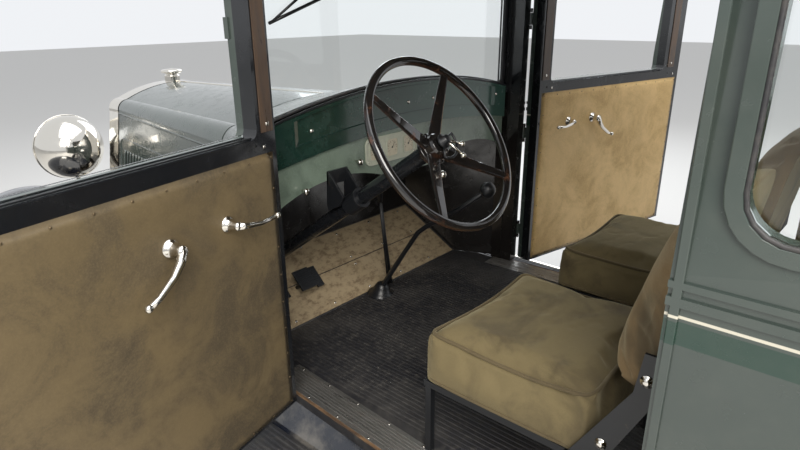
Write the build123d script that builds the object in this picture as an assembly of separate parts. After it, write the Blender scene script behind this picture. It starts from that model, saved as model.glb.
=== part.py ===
from build123d import *
import math
import os

# A light two-door closed car of the late 1920s, with both doors standing open.
# +X is the driver's left, +Y the rear and +Z up.
# The origin is on the ground, at the middle of the car's length and width.
# All sizes are in millimetres.

os.makedirs("parts", exist_ok=True)

# Running gear
WHEELBASE = 2921
FRONT_AXLE_Y = -1640
REAR_AXLE_Y = FRONT_AXLE_Y + WHEELBASE
TRACK = 1422
TYRE_OD = 762
TYRE_WIDTH = 115
RIM_RADIUS = 267
RIM_WIDTH = 92
SPOKES = 12
AXLE_Z = TYRE_OD / 2
WHEEL_X = TRACK / 2
KING_PIN_X = 605
KING_PIN_R = 12
STEER_ARM = 165
TIE_ROD_Z = 335
REAR_TUBE_R = 36
SPINDLE_R = 19
DRUM_R = 142
RUN_GAP = 0.06

# Frame
RAIL_X = 430
RAIL_WIDTH = 46
RAIL_DEPTH = 100
RAIL_PLATE = 5
RAIL_TOP = 485
RAIL_LIFT_FRONT = 72
RAIL_LIFT_REAR = 96
REAR_SPRING_X = 457
RAIL_KICK_FRONT_Y = -1240
RAIL_KICK_REAR_Y = REAR_AXLE_Y - 319
RAIL_FRONT_Y = -2010
RAIL_REAR_Y = REAR_AXLE_Y + 649
TANK_Y = REAR_AXLE_Y + 359
TANK_R = 105
CRANK_BORE_R = 12
CRANK_BORE_Z = 523
SPRING_X = 405
SPRING_WIDTH = 44
SPRING_LEAF = 7

# Cabin
FLOOR_TOP = 505
FLOOR_THICK = 18
SEAT_PAN_TOP = 612
SEAT_PAN_Y = 945
TOE_Y = -400
FIREWALL_Y = -606
TOE_TOP = 705
BODY_BOTTOM = FLOOR_TOP
BODY_WALL = 45
SCREEN_Y = -240
HINGE_Y = -150
HINGE_SKIN_X = 630
PILLAR_Y = 820
PILLAR_X = 680
BODY_REAR_Y = 1830
BELT_Z = 1180
ROOF_TOP = 1820
HEADER_Z = ROOF_TOP - 160
WINDOW_Z = 1245
WINDOW_TOP = HEADER_Z - 55
QUARTER_FRONT_Y = 885
QUARTER_REAR_Y = BODY_REAR_Y - 270
GLASS = 6
BELT_BANDS = ((1137, 1150), (1163, 1173))
BELT_PROUD = 5

# Doors
DOOR_OPEN = 77
DOOR_PROUD = 5
DOOR_INNER = 63
DOOR_GAP = 6
DOOR_END = 962
DOOR_BOTTOM = 511
DOOR_WINDOW = (66, 838)
HINGE_R = 7
HINGE_ZS = (640, 1050, HEADER_Z - 180)
HINGE_BARREL = 44
SILL_N = (33, 132)

# Cowl, hood and radiator
HOOD_REAR_Y = -620
HOOD_FRONT_Y = -1652
HOOD_BOTTOM = 765
HOOD_SHEET = 3
HOOD_GAP = 5
HOOD_SPLIT_Z = 1096
HOOD_ROD = 4
RADIATOR_Y = -1744
RADIATOR_BOTTOM = 560
RADIATOR_RIM = 24
LEDGE_X = 458
COWL_WALL = 20

# Fenders and running boards
FENDER_IN_X = 590
FENDER_OUT_X = 850
FENDER_R_FRONT = 462
FENDER_R_REAR = 450
FENDER_CROWN = 30
FENDER_SHEET = 4
BOARD_Z = 440
BOARD_THICK = 16
FRONT_DROP = 40
FRONT_SWEEP = 350
BOARD_DROP = 34
APRON_X = 598
SILL_UNDER = 27
REAR_DROP = 62
REAR_SWEEP = 120
FENDER_TIP = 178

# Steering wheel and column
STEER_POS = (333, 178, 1216)
STEER_TILT = 34.8
STEER_R = 220
STEER_RIM = 11
COLUMN_R = 21
COLUMN_LENGTH = 1235

# Seats
SEAT_IN = 100
SEAT_OUT = 556
SEAT_FRONT_Y = 275
SEAT_REAR_Y = 690
REAR_SEAT_Y = 1120
SEAT_BASE_Z = 705
SEAT_TOP_Z = 850

# Ends
LAMP_POS = (460, -1851, 943)
LAMP_R = 142
LAMP_DEPTH = 141
LAMP_BAR_Z = 770
BUMPER_FRONT_Y = RAIL_FRONT_Y - 140
BUMPER_REAR_Y = RAIL_REAR_Y + 220
BUMPER_BAR = (58, 10)
SPARE_Y = BODY_REAR_Y + 104
SPARE_Z = 745

BODY_TAPER = math.degrees(math.atan2(PILLAR_X - HINGE_SKIN_X, PILLAR_Y - HINGE_Y))
HINGE_X = HINGE_SKIN_X + DOOR_PROUD
DOOR_SWING = DOOR_OPEN - BODY_TAPER


def block(x, y, z):
    """Block between pairs of low and high values along X, Y and Z."""
    sizes = [abs(pair[1] - pair[0]) for pair in (x, y, z)]
    middle = [(pair[0] + pair[1]) / 2 for pair in (x, y, z)]
    return Pos(*middle) * Box(*sizes)


def rod(start, end, radius):
    """Round bar between two points."""
    run = Vector(*end) - Vector(*start)
    place = Plane(origin=start, z_dir=run)
    return place * Cylinder(radius, run.length, align=(Align.CENTER, Align.CENTER, Align.MIN))


def tube_x(x0, x1, y, z, radius):
    """Round bar along X."""
    return rod((x0, y, z), (x1, y, z), radius)


def right(shape):
    """The same shape on the car's right side."""
    return mirror(shape, about=Plane.YZ)


def pair(shape):
    """A left shape with its right twin, as separate solids."""
    return Compound(children=[*shape.solids(), *right(shape).solids()])


def group(*shapes):
    """Separate solids kept in one node."""
    solids = []
    for shape in shapes:
        solids += shape.solids()
    return Compound(children=solids)


def side_face(points):
    """Closed outline in the YZ plane, drawn from (y, z) points."""
    place = Plane(origin=(0, 0, 0), x_dir=(0, 1, 0), z_dir=(1, 0, 0))
    return place * make_face(Polyline(*points, close=True))


def plate_x(points, x0, x1):
    """Outline in the YZ plane given a thickness along X."""
    face = side_face(points)
    return Pos(x0, 0, 0) * extrude(face, amount=x1 - x0, dir=(1, 0, 0))


def spin_z(edges):
    """Solid of revolution about Z from a closed outline of (radius, height) edges."""
    face = make_face([edge.edge() for edge in edges])
    place = Plane(origin=(0, 0, 0), x_dir=(1, 0, 0), z_dir=(0, -1, 0))
    return revolve(place * face, Axis.Z, 360)


def cap_arc(radius, edge_z, pole_z):
    """Arc of a sphere about the Z axis, from (radius, edge_z) to the pole."""
    centre = (radius ** 2 + edge_z ** 2 - pole_z ** 2) / (2 * (edge_z - pole_z))
    reach = abs(pole_z - centre)
    sign = 1 if pole_z > centre else -1
    half = math.asin(min(1, radius / reach)) / 2
    middle = (reach * math.sin(half), centre + sign * reach * math.cos(half))
    return ThreePointArc((radius, edge_z), middle, (0, pole_z))


def save(shape, name, nodes):
    """Keep a finished node for export."""
    shape.label = name
    nodes[name] = shape


# Body shape


def body_plan(grow):
    """Outline of the cabin seen from above."""
    half = Curve() + [
        Line((HINGE_SKIN_X - (HINGE_Y - SCREEN_Y) * math.tan(math.radians(BODY_TAPER)), SCREEN_Y), (PILLAR_X, PILLAR_Y)),
        Line((PILLAR_X, PILLAR_Y), (PILLAR_X - 8, BODY_REAR_Y - 260)),
        ThreePointArc((PILLAR_X - 8, BODY_REAR_Y - 260), (PILLAR_X - 72, BODY_REAR_Y - 72), (PILLAR_X - 260, BODY_REAR_Y)),
    ]
    start = half.edges()[0] @ 0
    end = (PILLAR_X - 260, BODY_REAR_Y)
    other = mirror(half, about=Plane.YZ)
    closers = [Line(end, (-end[0], end[1])), Line((start.X, start.Y), (-start.X, start.Y))]
    face = make_face(half.edges() + other.edges() + [line.edge() for line in closers])
    return offset(face, amount=grow, kind=Kind.INTERSECTION) if grow else face


def body_side(grow):
    """Outline of the cabin seen from the side, as (y, z)."""
    top = ROOF_TOP
    edges = [
        Line((SCREEN_Y, 300), (SCREEN_Y, top - 130)),
        ThreePointArc((SCREEN_Y, top - 130), (SCREEN_Y + 28, top - 84), (SCREEN_Y + 90, top - 60)),
        ThreePointArc((SCREEN_Y + 90, top - 60), (630, top), (BODY_REAR_Y - 330, top - 52)),
        ThreePointArc((BODY_REAR_Y - 330, top - 52), (BODY_REAR_Y - 118, top - 134), (BODY_REAR_Y - 40, top - 320)),
        Line((BODY_REAR_Y - 40, top - 320), (BODY_REAR_Y, BELT_Z - 60)),
        Line((BODY_REAR_Y, BELT_Z - 60), (BODY_REAR_Y - 20, 300)),
        Line((BODY_REAR_Y - 20, 300), (SCREEN_Y, 300)),
    ]
    face = make_face([edge.edge() for edge in edges])
    face = offset(face, amount=grow, kind=Kind.INTERSECTION) if grow else face
    return Plane(origin=(0, 0, 0), x_dir=(0, 1, 0), z_dir=(1, 0, 0)) * face


def body_section(grow):
    """Outline of the cabin seen from the front, as (x, z)."""
    wide = PILLAR_X
    top = ROOF_TOP
    half = [
        Line((wide, 300), (wide, BELT_Z)),
        Line((wide, BELT_Z), (wide - 25, top - 165)),
        ThreePointArc((wide - 25, top - 165), (wide - 58, top - 82), (wide - 150, top - 38)),
        ThreePointArc((wide - 150, top - 38), (270, top - 9), (0, top)),
    ]
    edges = [edge.edge() for edge in half]
    edges += [mirror(edge, about=Plane.YZ) for edge in edges]
    edges.append(Line((wide, 300), (-wide, 300)).edge())
    face = make_face(edges)
    face = offset(face, amount=grow, kind=Kind.INTERSECTION) if grow else face
    return Plane(origin=(0, 0, 0), x_dir=(1, 0, 0), z_dir=(0, -1, 0)) * face


def body_form(grow):
    """The cabin as one closed form, grown or shrunk evenly all round."""
    plan = extrude(Pos(0, 0, 200) * body_plan(grow), amount=2000)
    side = extrude(body_side(grow), amount=900, both=True)
    section = extrude(body_section(grow), amount=2400, both=True)
    return plan & side & section


def door_frame(side_shape):
    """Place a shape drawn in the closed door's own frame: X inward, Y along the door."""
    return Pos(HINGE_X, HINGE_Y, 0) * Rot(0, 0, -BODY_TAPER) * side_shape


def door_block(s, n, z):
    """Block in the closed door's frame: along the door, inward from its hinge line, and up."""
    return door_frame(block((-n[1], -n[0]), s, z))


def open_door(shape):
    """Swing a closed left door to where it stands."""
    hinge = Axis((HINGE_X, HINGE_Y, 0), (0, 0, -1))
    return shape.rotate(hinge, DOOR_SWING)


# Hood, cowl and radiator sections, front to rear:
# y, half width at the bottom, bottom z, half width at the shoulder, shoulder z,
# half width and z where the shoulder meets the crown, z of the crown
NOSE = (HOOD_FRONT_Y, 392, RADIATOR_BOTTOM, 299, 1098, 252, 1152, 1208)
WAIST = (HOOD_REAR_Y, 460, BODY_BOTTOM, 441, 1104, 372, 1172, 1233)
SCUTTLE = (SCREEN_Y, 626, BODY_BOTTOM, 626, 1150, 548, 1246, 1308)


LOW_WAIST = WAIST[:2] + (400,) + WAIST[3:]
LOW_SCUTTLE = SCUTTLE[:2] + (400,) + SCUTTLE[3:]


def hood_wire(section, inset=0, y=None):
    """Closed outline across the hood or cowl from one row of the section table."""
    at, bottom, low, side, side_z, crown, crown_z, top = section
    at = at if y is None else y
    bottom, side, crown = bottom - inset, side - inset, crown - inset * 0.7
    crown_z, top = crown_z - inset * 0.7, top - inset
    lean = (side + crown) / 2 + (side - crown) * 0.24
    rise = (side_z + crown_z) / 2 + (crown_z - side_z) * 0.2
    mid_z = crown_z + (top - crown_z) * 0.76
    half = [
        Line((0, low), (bottom, low)),
        Line((bottom, low), (side, side_z)),
        ThreePointArc((side, side_z), (lean, rise), (crown, crown_z)),
        ThreePointArc((crown, crown_z), (crown / 2, mid_z), (0, top)),
    ]
    edges = [edge.edge() for edge in half]
    edges += [mirror(edge, about=Plane.YZ) for edge in edges]
    face = make_face(edges)
    return Plane(origin=(0, at, 0), x_dir=(1, 0, 0), z_dir=(0, -1, 0)) * face


def split_x(y):
    """Half width of the hood's outer face where its side and top meet."""
    share = (y - NOSE[0]) / (WAIST[0] - NOSE[0])

    def at(row):
        lean = (row[1] - row[3]) / (row[4] - row[2])
        return row[3] + lean * (row[4] - HOOD_SPLIT_Z)

    return at(NOSE) + share * (at(WAIST) - at(NOSE))


def hood_loft(first, last, inset=0):
    """Solid between two outlines of the section table."""
    return loft([hood_wire(first, inset), hood_wire(last, inset)], ruled=True)


# Fenders


def fender_line(wheel_y, radius, facing, drop, sweep):
    """Path of a fender's crown in side view, from its tip to the running board.

    facing is +1 where the board lies behind the wheel and -1 where it lies ahead."""
    tip = math.radians(FENDER_TIP)
    leave = math.radians(90 - drop)
    top = math.radians(90)
    fall = math.radians(drop)

    def on_wheel(angle):
        return (0, wheel_y + facing * radius * math.cos(angle), AXLE_Z + radius * math.sin(angle))

    start = on_wheel(tip)
    crest = on_wheel((tip + leave) / 2)
    end = on_wheel(leave)
    straight = end[2] - BOARD_Z - sweep * (1 - math.cos(fall))
    turn_y = end[1] + facing * straight / math.tan(fall)
    turn_z = BOARD_Z + sweep * (1 - math.cos(fall))
    last_y = turn_y + facing * sweep * math.sin(fall)
    half_y = turn_y + facing * sweep * (math.sin(fall) - math.sin(fall / 2))
    half_z = BOARD_Z + sweep * (1 - math.cos(fall / 2))
    return [start, crest, end, (0, turn_y, turn_z), (0, half_y, half_z), (0, last_y, BOARD_Z)]


def fender_path(points, x):
    """Wire of a fender's crown at one distance from the car's middle."""
    start, crest, end, turn, half, last = [(x, p[1], p[2]) for p in points]
    edges = [
        ThreePointArc(start, crest, end).edge(),
        Line(end, turn).edge(),
        ThreePointArc(turn, half, last).edge(),
    ]
    return Wire(edges)


def fender(points, facing, inner_x):
    """Crowned fender swept along its path, with an inner flange reaching to inner_x."""
    middle = (FENDER_IN_X + FENDER_OUT_X) / 2
    half = (FENDER_OUT_X - FENDER_IN_X) / 2
    path = fender_path(points, middle)
    place = Plane(origin=path @ 0, x_dir=(1, 0, 0), z_dir=path % 0)
    out = -facing
    crown = out * FENDER_CROWN
    sheet = out * FENDER_SHEET
    lip = out * 26
    reach = middle - inner_x
    dip = out * (FENDER_CROWN + 22)
    outer = [
        Line((-reach, -dip), (-half, -crown)),
        ThreePointArc((-half, -crown), (0, 0), (half, -crown)),
        Line((half, -crown), (half, -crown - lip)),
        Line((half, -crown - lip), (half - FENDER_SHEET, -crown - lip)),
        Line((half - FENDER_SHEET, -crown - lip), (half - FENDER_SHEET, -crown - sheet)),
        ThreePointArc((half - FENDER_SHEET, -crown - sheet), (0, -sheet), (-half, -crown - sheet)),
        Line((-half, -crown - sheet), (-reach, -dip - sheet)),
        Line((-reach, -dip - sheet), (-reach, -dip)),
    ]
    face = place * make_face([edge.edge() for edge in outer])
    return sweep(face, path=path)


def under_fender(points, grow, x0, x1, low):
    """Space under a fender's path, down to low, between two distances from the middle."""
    start, crest, end, turn, half, last = [(p[1], p[2] + grow) for p in points]
    side = 1 if last[0] > start[0] else -1
    start = (start[0] - side * grow, start[1] - grow)
    edges = [
        Line((start[0], low), start),
        ThreePointArc(start, (crest[0] - side * grow * 0.2, crest[1]), end),
        Line(end, turn),
        ThreePointArc(turn, half, last),
        Line(last, (last[0], low)),
        Line((last[0], low), (start[0], low)),
    ]
    face = make_face([edge.edge() for edge in edges])
    place = Plane(origin=(x0, 0, 0), x_dir=(0, 1, 0), z_dir=(1, 0, 0))
    return extrude(place * face, amount=x1 - x0, dir=(1, 0, 0))


FRONT_LINE = fender_line(FRONT_AXLE_Y, FENDER_R_FRONT, 1, FRONT_DROP, FRONT_SWEEP)
REAR_LINE = fender_line(REAR_AXLE_Y, FENDER_R_REAR, -1, REAR_DROP, REAR_SWEEP)


def make_shell():
    """Cabin walls and roof in one piece, with window and door openings cut."""
    skin = body_form(0)
    raised = body_form(BELT_PROUD)
    for low, high in BELT_BANDS:
        skin += raised & block((-900, 900), (SCREEN_Y + 1, 2000), (low, high))
    skin = skin & block((-900, 900), (-900, 2400), (BODY_BOTTOM, 2000))
    shell = skin - body_form(-BODY_WALL)
    opening = door_block((0, DOOR_END + 8), (-60, 140), (300, HEADER_Z))
    shell = shell - opening - right(opening)
    inner_front = block((-578, 578), (SCREEN_Y - 10, SCREEN_Y + 60), (300, BELT_Z + 30))
    screen = block((-562, 562), (SCREEN_Y - 10, SCREEN_Y + 60), (BELT_Z + 28, WINDOW_TOP + 35))
    quarter = block((500, 760), (QUARTER_FRONT_Y, QUARTER_REAR_Y), (WINDOW_Z, WINDOW_TOP))
    quarter = fillet(quarter.edges().filter_by(Axis.X), radius=60)
    back = block((-290, 290), (BODY_REAR_Y - 300, BODY_REAR_Y + 60), (WINDOW_Z + 85, WINDOW_TOP - 15))
    back = fillet(back.edges().filter_by(Axis.Y), radius=50)
    shell = shell - inner_front - screen - quarter - right(quarter) - back
    for z in HINGE_ZS:
        relief = Pos(HINGE_X, HINGE_Y, z) * Cylinder(HINGE_R + 0.4, HINGE_BARREL + 1)
        shell = shell - relief - right(relief)
        for side in (-1, 1):
            at = z + side * (HINGE_BARREL / 2 + 8)
            fixed = Pos(HINGE_X, HINGE_Y, at) * Cylinder(HINGE_R, 14.8)
            fixed += door_block((-34, 0), (DOOR_PROUD - 4, DOOR_PROUD + 4), (at - 7.4, at + 7.4))
            shell = shell + fixed + right(fixed)
    arch = under_fender(REAR_LINE, 1.5, 560, 760, 250)
    return shell - arch - right(arch)


def main():
    nodes = {}
    shell = make_shell()

    # Cabin panels, parted where the real ones meet
    roof = shell & block((-900, 900), (-900, 2400), (HEADER_Z, 2000))
    visor_z = ROOF_TOP - 96
    visor = plate_x([(SCREEN_Y + 22, visor_z), (SCREEN_Y - 150, visor_z - 69),
                     (SCREEN_Y - 154, visor_z - 62), (SCREEN_Y + 22, visor_z + 16)], -560, 560)
    save(roof + visor, "roof", nodes)
    low = shell & block((-900, 900), (-900, 2400), (300, HEADER_Z))
    front = low & block((-900, 900), (-900, 300), (300, HEADER_Z))
    save(front & block((-900, 900), (-900, 300), (BELT_Z + 28, HEADER_Z)), "windscreen_frame", nodes)
    pillars = front & block((-900, 900), (-900, 300), (300, BELT_Z + 28))
    save(low & block((-900, 900), (BODY_REAR_Y - 230, 2400), (300, HEADER_Z)), "rear_panel", nodes)
    save(low & block((-900, 900), (500, BODY_REAR_Y - 230), (300, HEADER_Z)), "quarter_panels", nodes)

    # Cowl
    cowl = hood_loft(WAIST, SCUTTLE) - hood_loft(WAIST, SCUTTLE, COWL_WALL)
    cowl -= block((-400, 400), (-700, 0), (300, BODY_BOTTOM + COWL_WALL + 1))
    wall = block((-455, 455), (FIREWALL_Y - 3, FIREWALL_Y), (TOE_TOP, 1215)) & hood_loft(WAIST, SCUTTLE, 2)
    cowl = cowl + pillars + wall
    save(cowl, "cowl", nodes)

    # Fixed glass
    screen_glass = block((-561.7, 561.7), (SCREEN_Y + 20, SCREEN_Y + 20 + GLASS), (WINDOW_Z + 75, WINDOW_TOP + 34.7))
    quarter_glass = block((655, 655 + GLASS), (QUARTER_FRONT_Y + 0.3, QUARTER_REAR_Y - 0.3), (WINDOW_Z + 0.3, WINDOW_TOP - 0.3))
    quarter_glass = fillet(quarter_glass.edges().filter_by(Axis.X), radius=60)
    back_glass = block((-289.7, 289.7), (BODY_REAR_Y - 58, BODY_REAR_Y - 58 + GLASS), (WINDOW_Z + 85.3, WINDOW_TOP - 15.3))
    back_glass = fillet(back_glass.edges().filter_by(Axis.Y), radius=50)
    save(group(screen_glass, quarter_glass, right(quarter_glass), back_glass), "fixed_glass", nodes)

    # Doors
    skin = body_form(0)
    raised = body_form(BELT_PROUD)
    for low_z, high_z in BELT_BANDS:
        skin += raised & block((-900, 900), (SCREEN_Y + 1, 2000), (low_z, high_z))
    door = skin & door_block((DOOR_GAP, DOOR_END), (-40, DOOR_INNER), (DOOR_BOTTOM, HEADER_Z - 6))
    window = door_frame(block((-120, 80), DOOR_WINDOW, (WINDOW_Z, WINDOW_TOP)))
    window = fillet(window.edges().filter_by(lambda e: abs((e % 0.5).X) > 0.9), radius=22)
    pocket = door_block((DOOR_WINDOW[0] + 20, DOOR_WINDOW[1] - 20), (34, 46), (840, WINDOW_Z + 1))
    door = door - window - pocket
    for z in HINGE_ZS:
        leaf = door_block((DOOR_GAP, 70), (DOOR_PROUD - 4, DOOR_PROUD + 8), (z - 22, z + 22))
        barrel = Pos(HINGE_X, HINGE_Y, z) * Cylinder(HINGE_R, HINGE_BARREL)
        arm = door_block((0, DOOR_GAP + 2), (DOOR_PROUD - 4, DOOR_PROUD + 2), (z - 22, z + 22))
        door = door + barrel + arm + leaf
    glass = door_block((DOOR_WINDOW[0] + 24, DOOR_WINDOW[1] - 24), (37, 37 + GLASS), (840, WINDOW_Z + 12))
    save(open_door(door), "door_left", nodes)
    save(right(open_door(door)), "door_right", nodes)
    save(open_door(glass), "door_glass_left", nodes)
    save(right(open_door(glass)), "door_glass_right", nodes)

    # Floor, seat pan and sills
    cabin = body_form(-BODY_WALL - 0.3)
    low_floor = FLOOR_TOP - FLOOR_THICK
    floor = block((-600, 600), (SCREEN_Y + 30, SEAT_PAN_Y), (low_floor, FLOOR_TOP))
    floor += block((-600, 600), (SEAT_PAN_Y - 18, SEAT_PAN_Y), (low_floor, SEAT_PAN_TOP))
    floor += block((-600, 600), (SEAT_PAN_Y - 1, BODY_REAR_Y), (SEAT_PAN_TOP - FLOOR_THICK, SEAT_PAN_TOP))
    floor = (floor & cabin) - under_fender(REAR_LINE, 1.5, 560, 760, 250) - right(under_fender(REAR_LINE, 1.5, 560, 760, 250))
    toe = plate_x([(SCREEN_Y + 31, low_floor), (SCREEN_Y + 31, FLOOR_TOP), (TOE_Y, FLOOR_TOP), (FIREWALL_Y, TOE_TOP),
                   (FIREWALL_Y, TOE_TOP - 22), (TOE_Y - 6, low_floor)], -575, 575)
    toe = (toe & (hood_loft(LOW_WAIST, LOW_SCUTTLE, COWL_WALL + 0.3) + block((-575, 575), (SCREEN_Y, 0), (450, 510))))
    sill = door_block((-88, DOOR_END + 40), SILL_N, (FLOOR_TOP - SILL_UNDER, FLOOR_TOP))
    sill -= under_fender(REAR_LINE, 1.5, 560, 760, 250)
    floor = floor + toe + sill + right(sill)
    tilt = math.radians(STEER_TILT)
    axis = Vector(0, math.cos(tilt), math.sin(tilt))
    top_at = Vector(*STEER_POS) - axis * 55
    low_at = Vector(*STEER_POS) - axis * COLUMN_LENGTH
    floor -= rod(top_at, low_at, COLUMN_R + 3)
    save(floor, "floor", nodes)

    # Frame
    high_front = RAIL_TOP + RAIL_LIFT_FRONT
    high_rear = RAIL_TOP + RAIL_LIFT_REAR
    top_line = [(RAIL_FRONT_Y, 482), (-1800, high_front), (RAIL_KICK_FRONT_Y, high_front),
                (RAIL_KICK_FRONT_Y + 160, RAIL_TOP), (RAIL_KICK_REAR_Y, RAIL_TOP),
                (RAIL_KICK_REAR_Y + 120, high_rear), (REAR_AXLE_Y + 179, high_rear),
                (RAIL_REAR_Y - 190, 500), (RAIL_REAR_Y, 490)]
    low_line = [(y, z - RAIL_DEPTH) for y, z in top_line]
    low_line[0] = (RAIL_FRONT_Y, AXLE_Z + 24 + 6 * SPRING_LEAF + 0.3)
    low_line[-2] = (RAIL_REAR_Y - 190, 440)
    low_line[-1] = (RAIL_REAR_Y, 440)
    rail = plate_x(top_line + low_line[::-1], RAIL_X - RAIL_WIDTH, RAIL_X)
    cut_top = [(y, z - RAIL_PLATE) for y, z in top_line]
    cut_low = [(y, z + RAIL_PLATE) for y, z in low_line]
    cut_top[0] = (RAIL_FRONT_Y + 60, 496 - RAIL_PLATE)
    cut_low[0] = (RAIL_FRONT_Y + 60, 452 + RAIL_PLATE)
    cut_top[-1] = (RAIL_REAR_Y - 20, cut_top[-1][1])
    cut_low[-1] = (RAIL_REAR_Y - 20, cut_low[-1][1])
    rail = rail - plate_x(cut_top + cut_low[::-1], RAIL_X - RAIL_WIDTH, RAIL_X - RAIL_PLATE)
    spring_top = AXLE_Z + REAR_TUBE_R + 4 + 6 * SPRING_LEAF
    for y in (REAR_AXLE_Y - 520, REAR_AXLE_Y + 520):
        hanger_x = (RAIL_X, REAR_SPRING_X + SPRING_WIDTH / 2)
        rail += block(hanger_x, (y - 22, y + 22), (spring_top + 0.3, spring_top + 20))
    frame = rail + right(rail)
    for y, z, deep in ((-1770, 500, 46), (-1130, 408, 50), (-380, 438, 40), (640, 438, 40),
                      (REAR_AXLE_Y + 139, 492, 50), (RAIL_REAR_Y - 130, 445, 36)):
        inner = RAIL_X - RAIL_PLATE
        frame += block((-inner, inner), (y - 30, y + 30), (z, z + deep))
    frame -= rod((0, -1900, CRANK_BORE_Z), (0, -1700, CRANK_BORE_Z), CRANK_BORE_R)
    save(frame, "frame", nodes)

    # Springs
    springs = []
    for x, y, z, length in ((SPRING_X, FRONT_AXLE_Y, AXLE_Z + 24, 730), (REAR_SPRING_X, REAR_AXLE_Y, AXLE_Z + REAR_TUBE_R + 4, 1080)):
        leaves = block((x - SPRING_WIDTH / 2, x + SPRING_WIDTH / 2), (y - 50, y + 50), (z - 3.7, z + 1))
        if y == FRONT_AXLE_Y:
            leaves = block((x - SPRING_WIDTH / 2, x + SPRING_WIDTH / 2), (y + length / 2 - 34, y + length / 2),
                           (z + 6 * SPRING_LEAF - 1, z + 6 * SPRING_LEAF + 9.7))
        for i in range(6):
            share = length * (1 - i * 0.15)
            leaves += block((x - SPRING_WIDTH / 2, x + SPRING_WIDTH / 2), (y - share / 2, y + share / 2),
                            (z + (5 - i) * SPRING_LEAF, z + (6 - i) * SPRING_LEAF))
        springs.append(leaves)
    save(group(*springs, *[right(s) for s in springs]), "leaf_springs", nodes)

    # Front axle, knuckles and tie rod
    axle_z = AXLE_Z
    beam = block((-470, 470), (FRONT_AXLE_Y - 20, FRONT_AXLE_Y + 20), (axle_z - 36, axle_z + 24))
    beam -= block((-470, 470), (FRONT_AXLE_Y + 6, FRONT_AXLE_Y + 21), (axle_z - 24, axle_z + 12))
    beam -= block((-470, 470), (FRONT_AXLE_Y - 21, FRONT_AXLE_Y - 6), (axle_z - 24, axle_z + 12))
    eye = Pos(KING_PIN_X, FRONT_AXLE_Y, axle_z) * Cylinder(25, 64)
    tip = block((465, KING_PIN_X), (FRONT_AXLE_Y - 18, FRONT_AXLE_Y + 18), (axle_z - 26, axle_z + 20))
    bore = Pos(KING_PIN_X, FRONT_AXLE_Y, axle_z) * Cylinder(KING_PIN_R + RUN_GAP, 90)
    end = (eye + tip) - bore
    save(beam + end + right(end), "front_axle", nodes)
    pin = Pos(KING_PIN_X, FRONT_AXLE_Y, axle_z) * Cylinder(KING_PIN_R, 104)
    ears = Pos(KING_PIN_X, FRONT_AXLE_Y, axle_z + 43) * Cylinder(24, 18)
    ears += Pos(KING_PIN_X, FRONT_AXLE_Y, axle_z - 43) * Cylinder(24, 18)
    web = block((KING_PIN_X + 28, KING_PIN_X + 44), (FRONT_AXLE_Y - 20, FRONT_AXLE_Y + 20), (axle_z - 52, axle_z + 52))
    for z in (axle_z + 43, axle_z - 43):
        web += block((KING_PIN_X, KING_PIN_X + 30), (FRONT_AXLE_Y - 18, FRONT_AXLE_Y + 18), (z - 9, z + 9))
    spindle = tube_x(KING_PIN_X + 40, WHEEL_X + 46, FRONT_AXLE_Y, axle_z, SPINDLE_R)
    drum_plate = tube_x(KING_PIN_X + 40, KING_PIN_X + 46, FRONT_AXLE_Y, axle_z, DRUM_R - 4)
    arm_end = (KING_PIN_X, FRONT_AXLE_Y + STEER_ARM)
    arm_z = axle_z - 43
    arm = rod((KING_PIN_X, FRONT_AXLE_Y, arm_z), (arm_end[0], arm_end[1], arm_z), 7.5)
    ball = Pos(arm_end[0], arm_end[1], arm_z) * Cylinder(15, 20)
    stud = rod((arm_end[0], arm_end[1], TIE_ROD_Z - 34), (arm_end[0], arm_end[1], TIE_ROD_Z), 7)
    knuckle = pin + ears + web + spindle + drum_plate + arm + ball + stud
    save(knuckle, "knuckle_left", nodes)
    save(right(knuckle), "knuckle_right", nodes)
    rod_z = TIE_ROD_Z - 22
    tie = tube_x(-arm_end[0] + 22, arm_end[0] - 22, arm_end[1], rod_z, 11)
    eye_l = Pos(arm_end[0], arm_end[1], rod_z) * (Cylinder(24, 18) - Cylinder(7.3, 18))
    eye_r = Pos(-arm_end[0], arm_end[1], rod_z) * (Cylinder(24, 18) - Cylinder(8.5, 18))
    save(tie + eye_l + eye_r, "tie_rod", nodes)

    # Rear axle and driveline
    rear = tube_x(-WHEEL_X - 46, WHEEL_X + 46, REAR_AXLE_Y, AXLE_Z, SPINDLE_R)
    rear += tube_x(-KING_PIN_X - 41, KING_PIN_X + 41, REAR_AXLE_Y, AXLE_Z, REAR_TUBE_R)
    casing = Rot(0, 90, 0) * Cylinder(128, 150)
    casing = fillet(casing.edges(), radius=48)
    rear += Pos(0, REAR_AXLE_Y, AXLE_Z) * casing
    for s in (-1, 1):
        rear += tube_x(s * (KING_PIN_X + 40), s * (KING_PIN_X + 46), REAR_AXLE_Y, AXLE_Z, DRUM_R - 4)
    save(rear, "rear_axle", nodes)
    box_y = -600
    gearbox = block((-110, 110), (-900, box_y), (350, 470)) + rod((0, box_y, 402), (0, REAR_AXLE_Y - 128.3, AXLE_Z), 31)
    gearbox += rod((0, REAR_AXLE_Y - 190, AXLE_Z), (0, REAR_AXLE_Y - 128.3, AXLE_Z), 44)
    save(gearbox, "driveline", nodes)
    save(block((-170, 170), (-1590, -900.3), (470, 1040)), "engine", nodes)
    pipe = rod((-230, -1000, 420), (-230, -400, 372), 22) + rod((-230, -400, 372), (-230, 300, 368), 56)
    axle_y = REAR_AXLE_Y
    pipe += rod((-230, 300, 368), (-230, axle_y - 181, 312), 20) + rod((-230, axle_y - 181, 312), (-230, axle_y + 219, 300), 20)
    tail_y = RAIL_REAR_Y + 50
    pipe += rod((-230, axle_y + 219, 300), (-230, tail_y - 150, 300), 20) + rod((-230, tail_y - 150, 300), (-230, tail_y, 300), 22)
    save(pipe, "exhaust", nodes)
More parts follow.
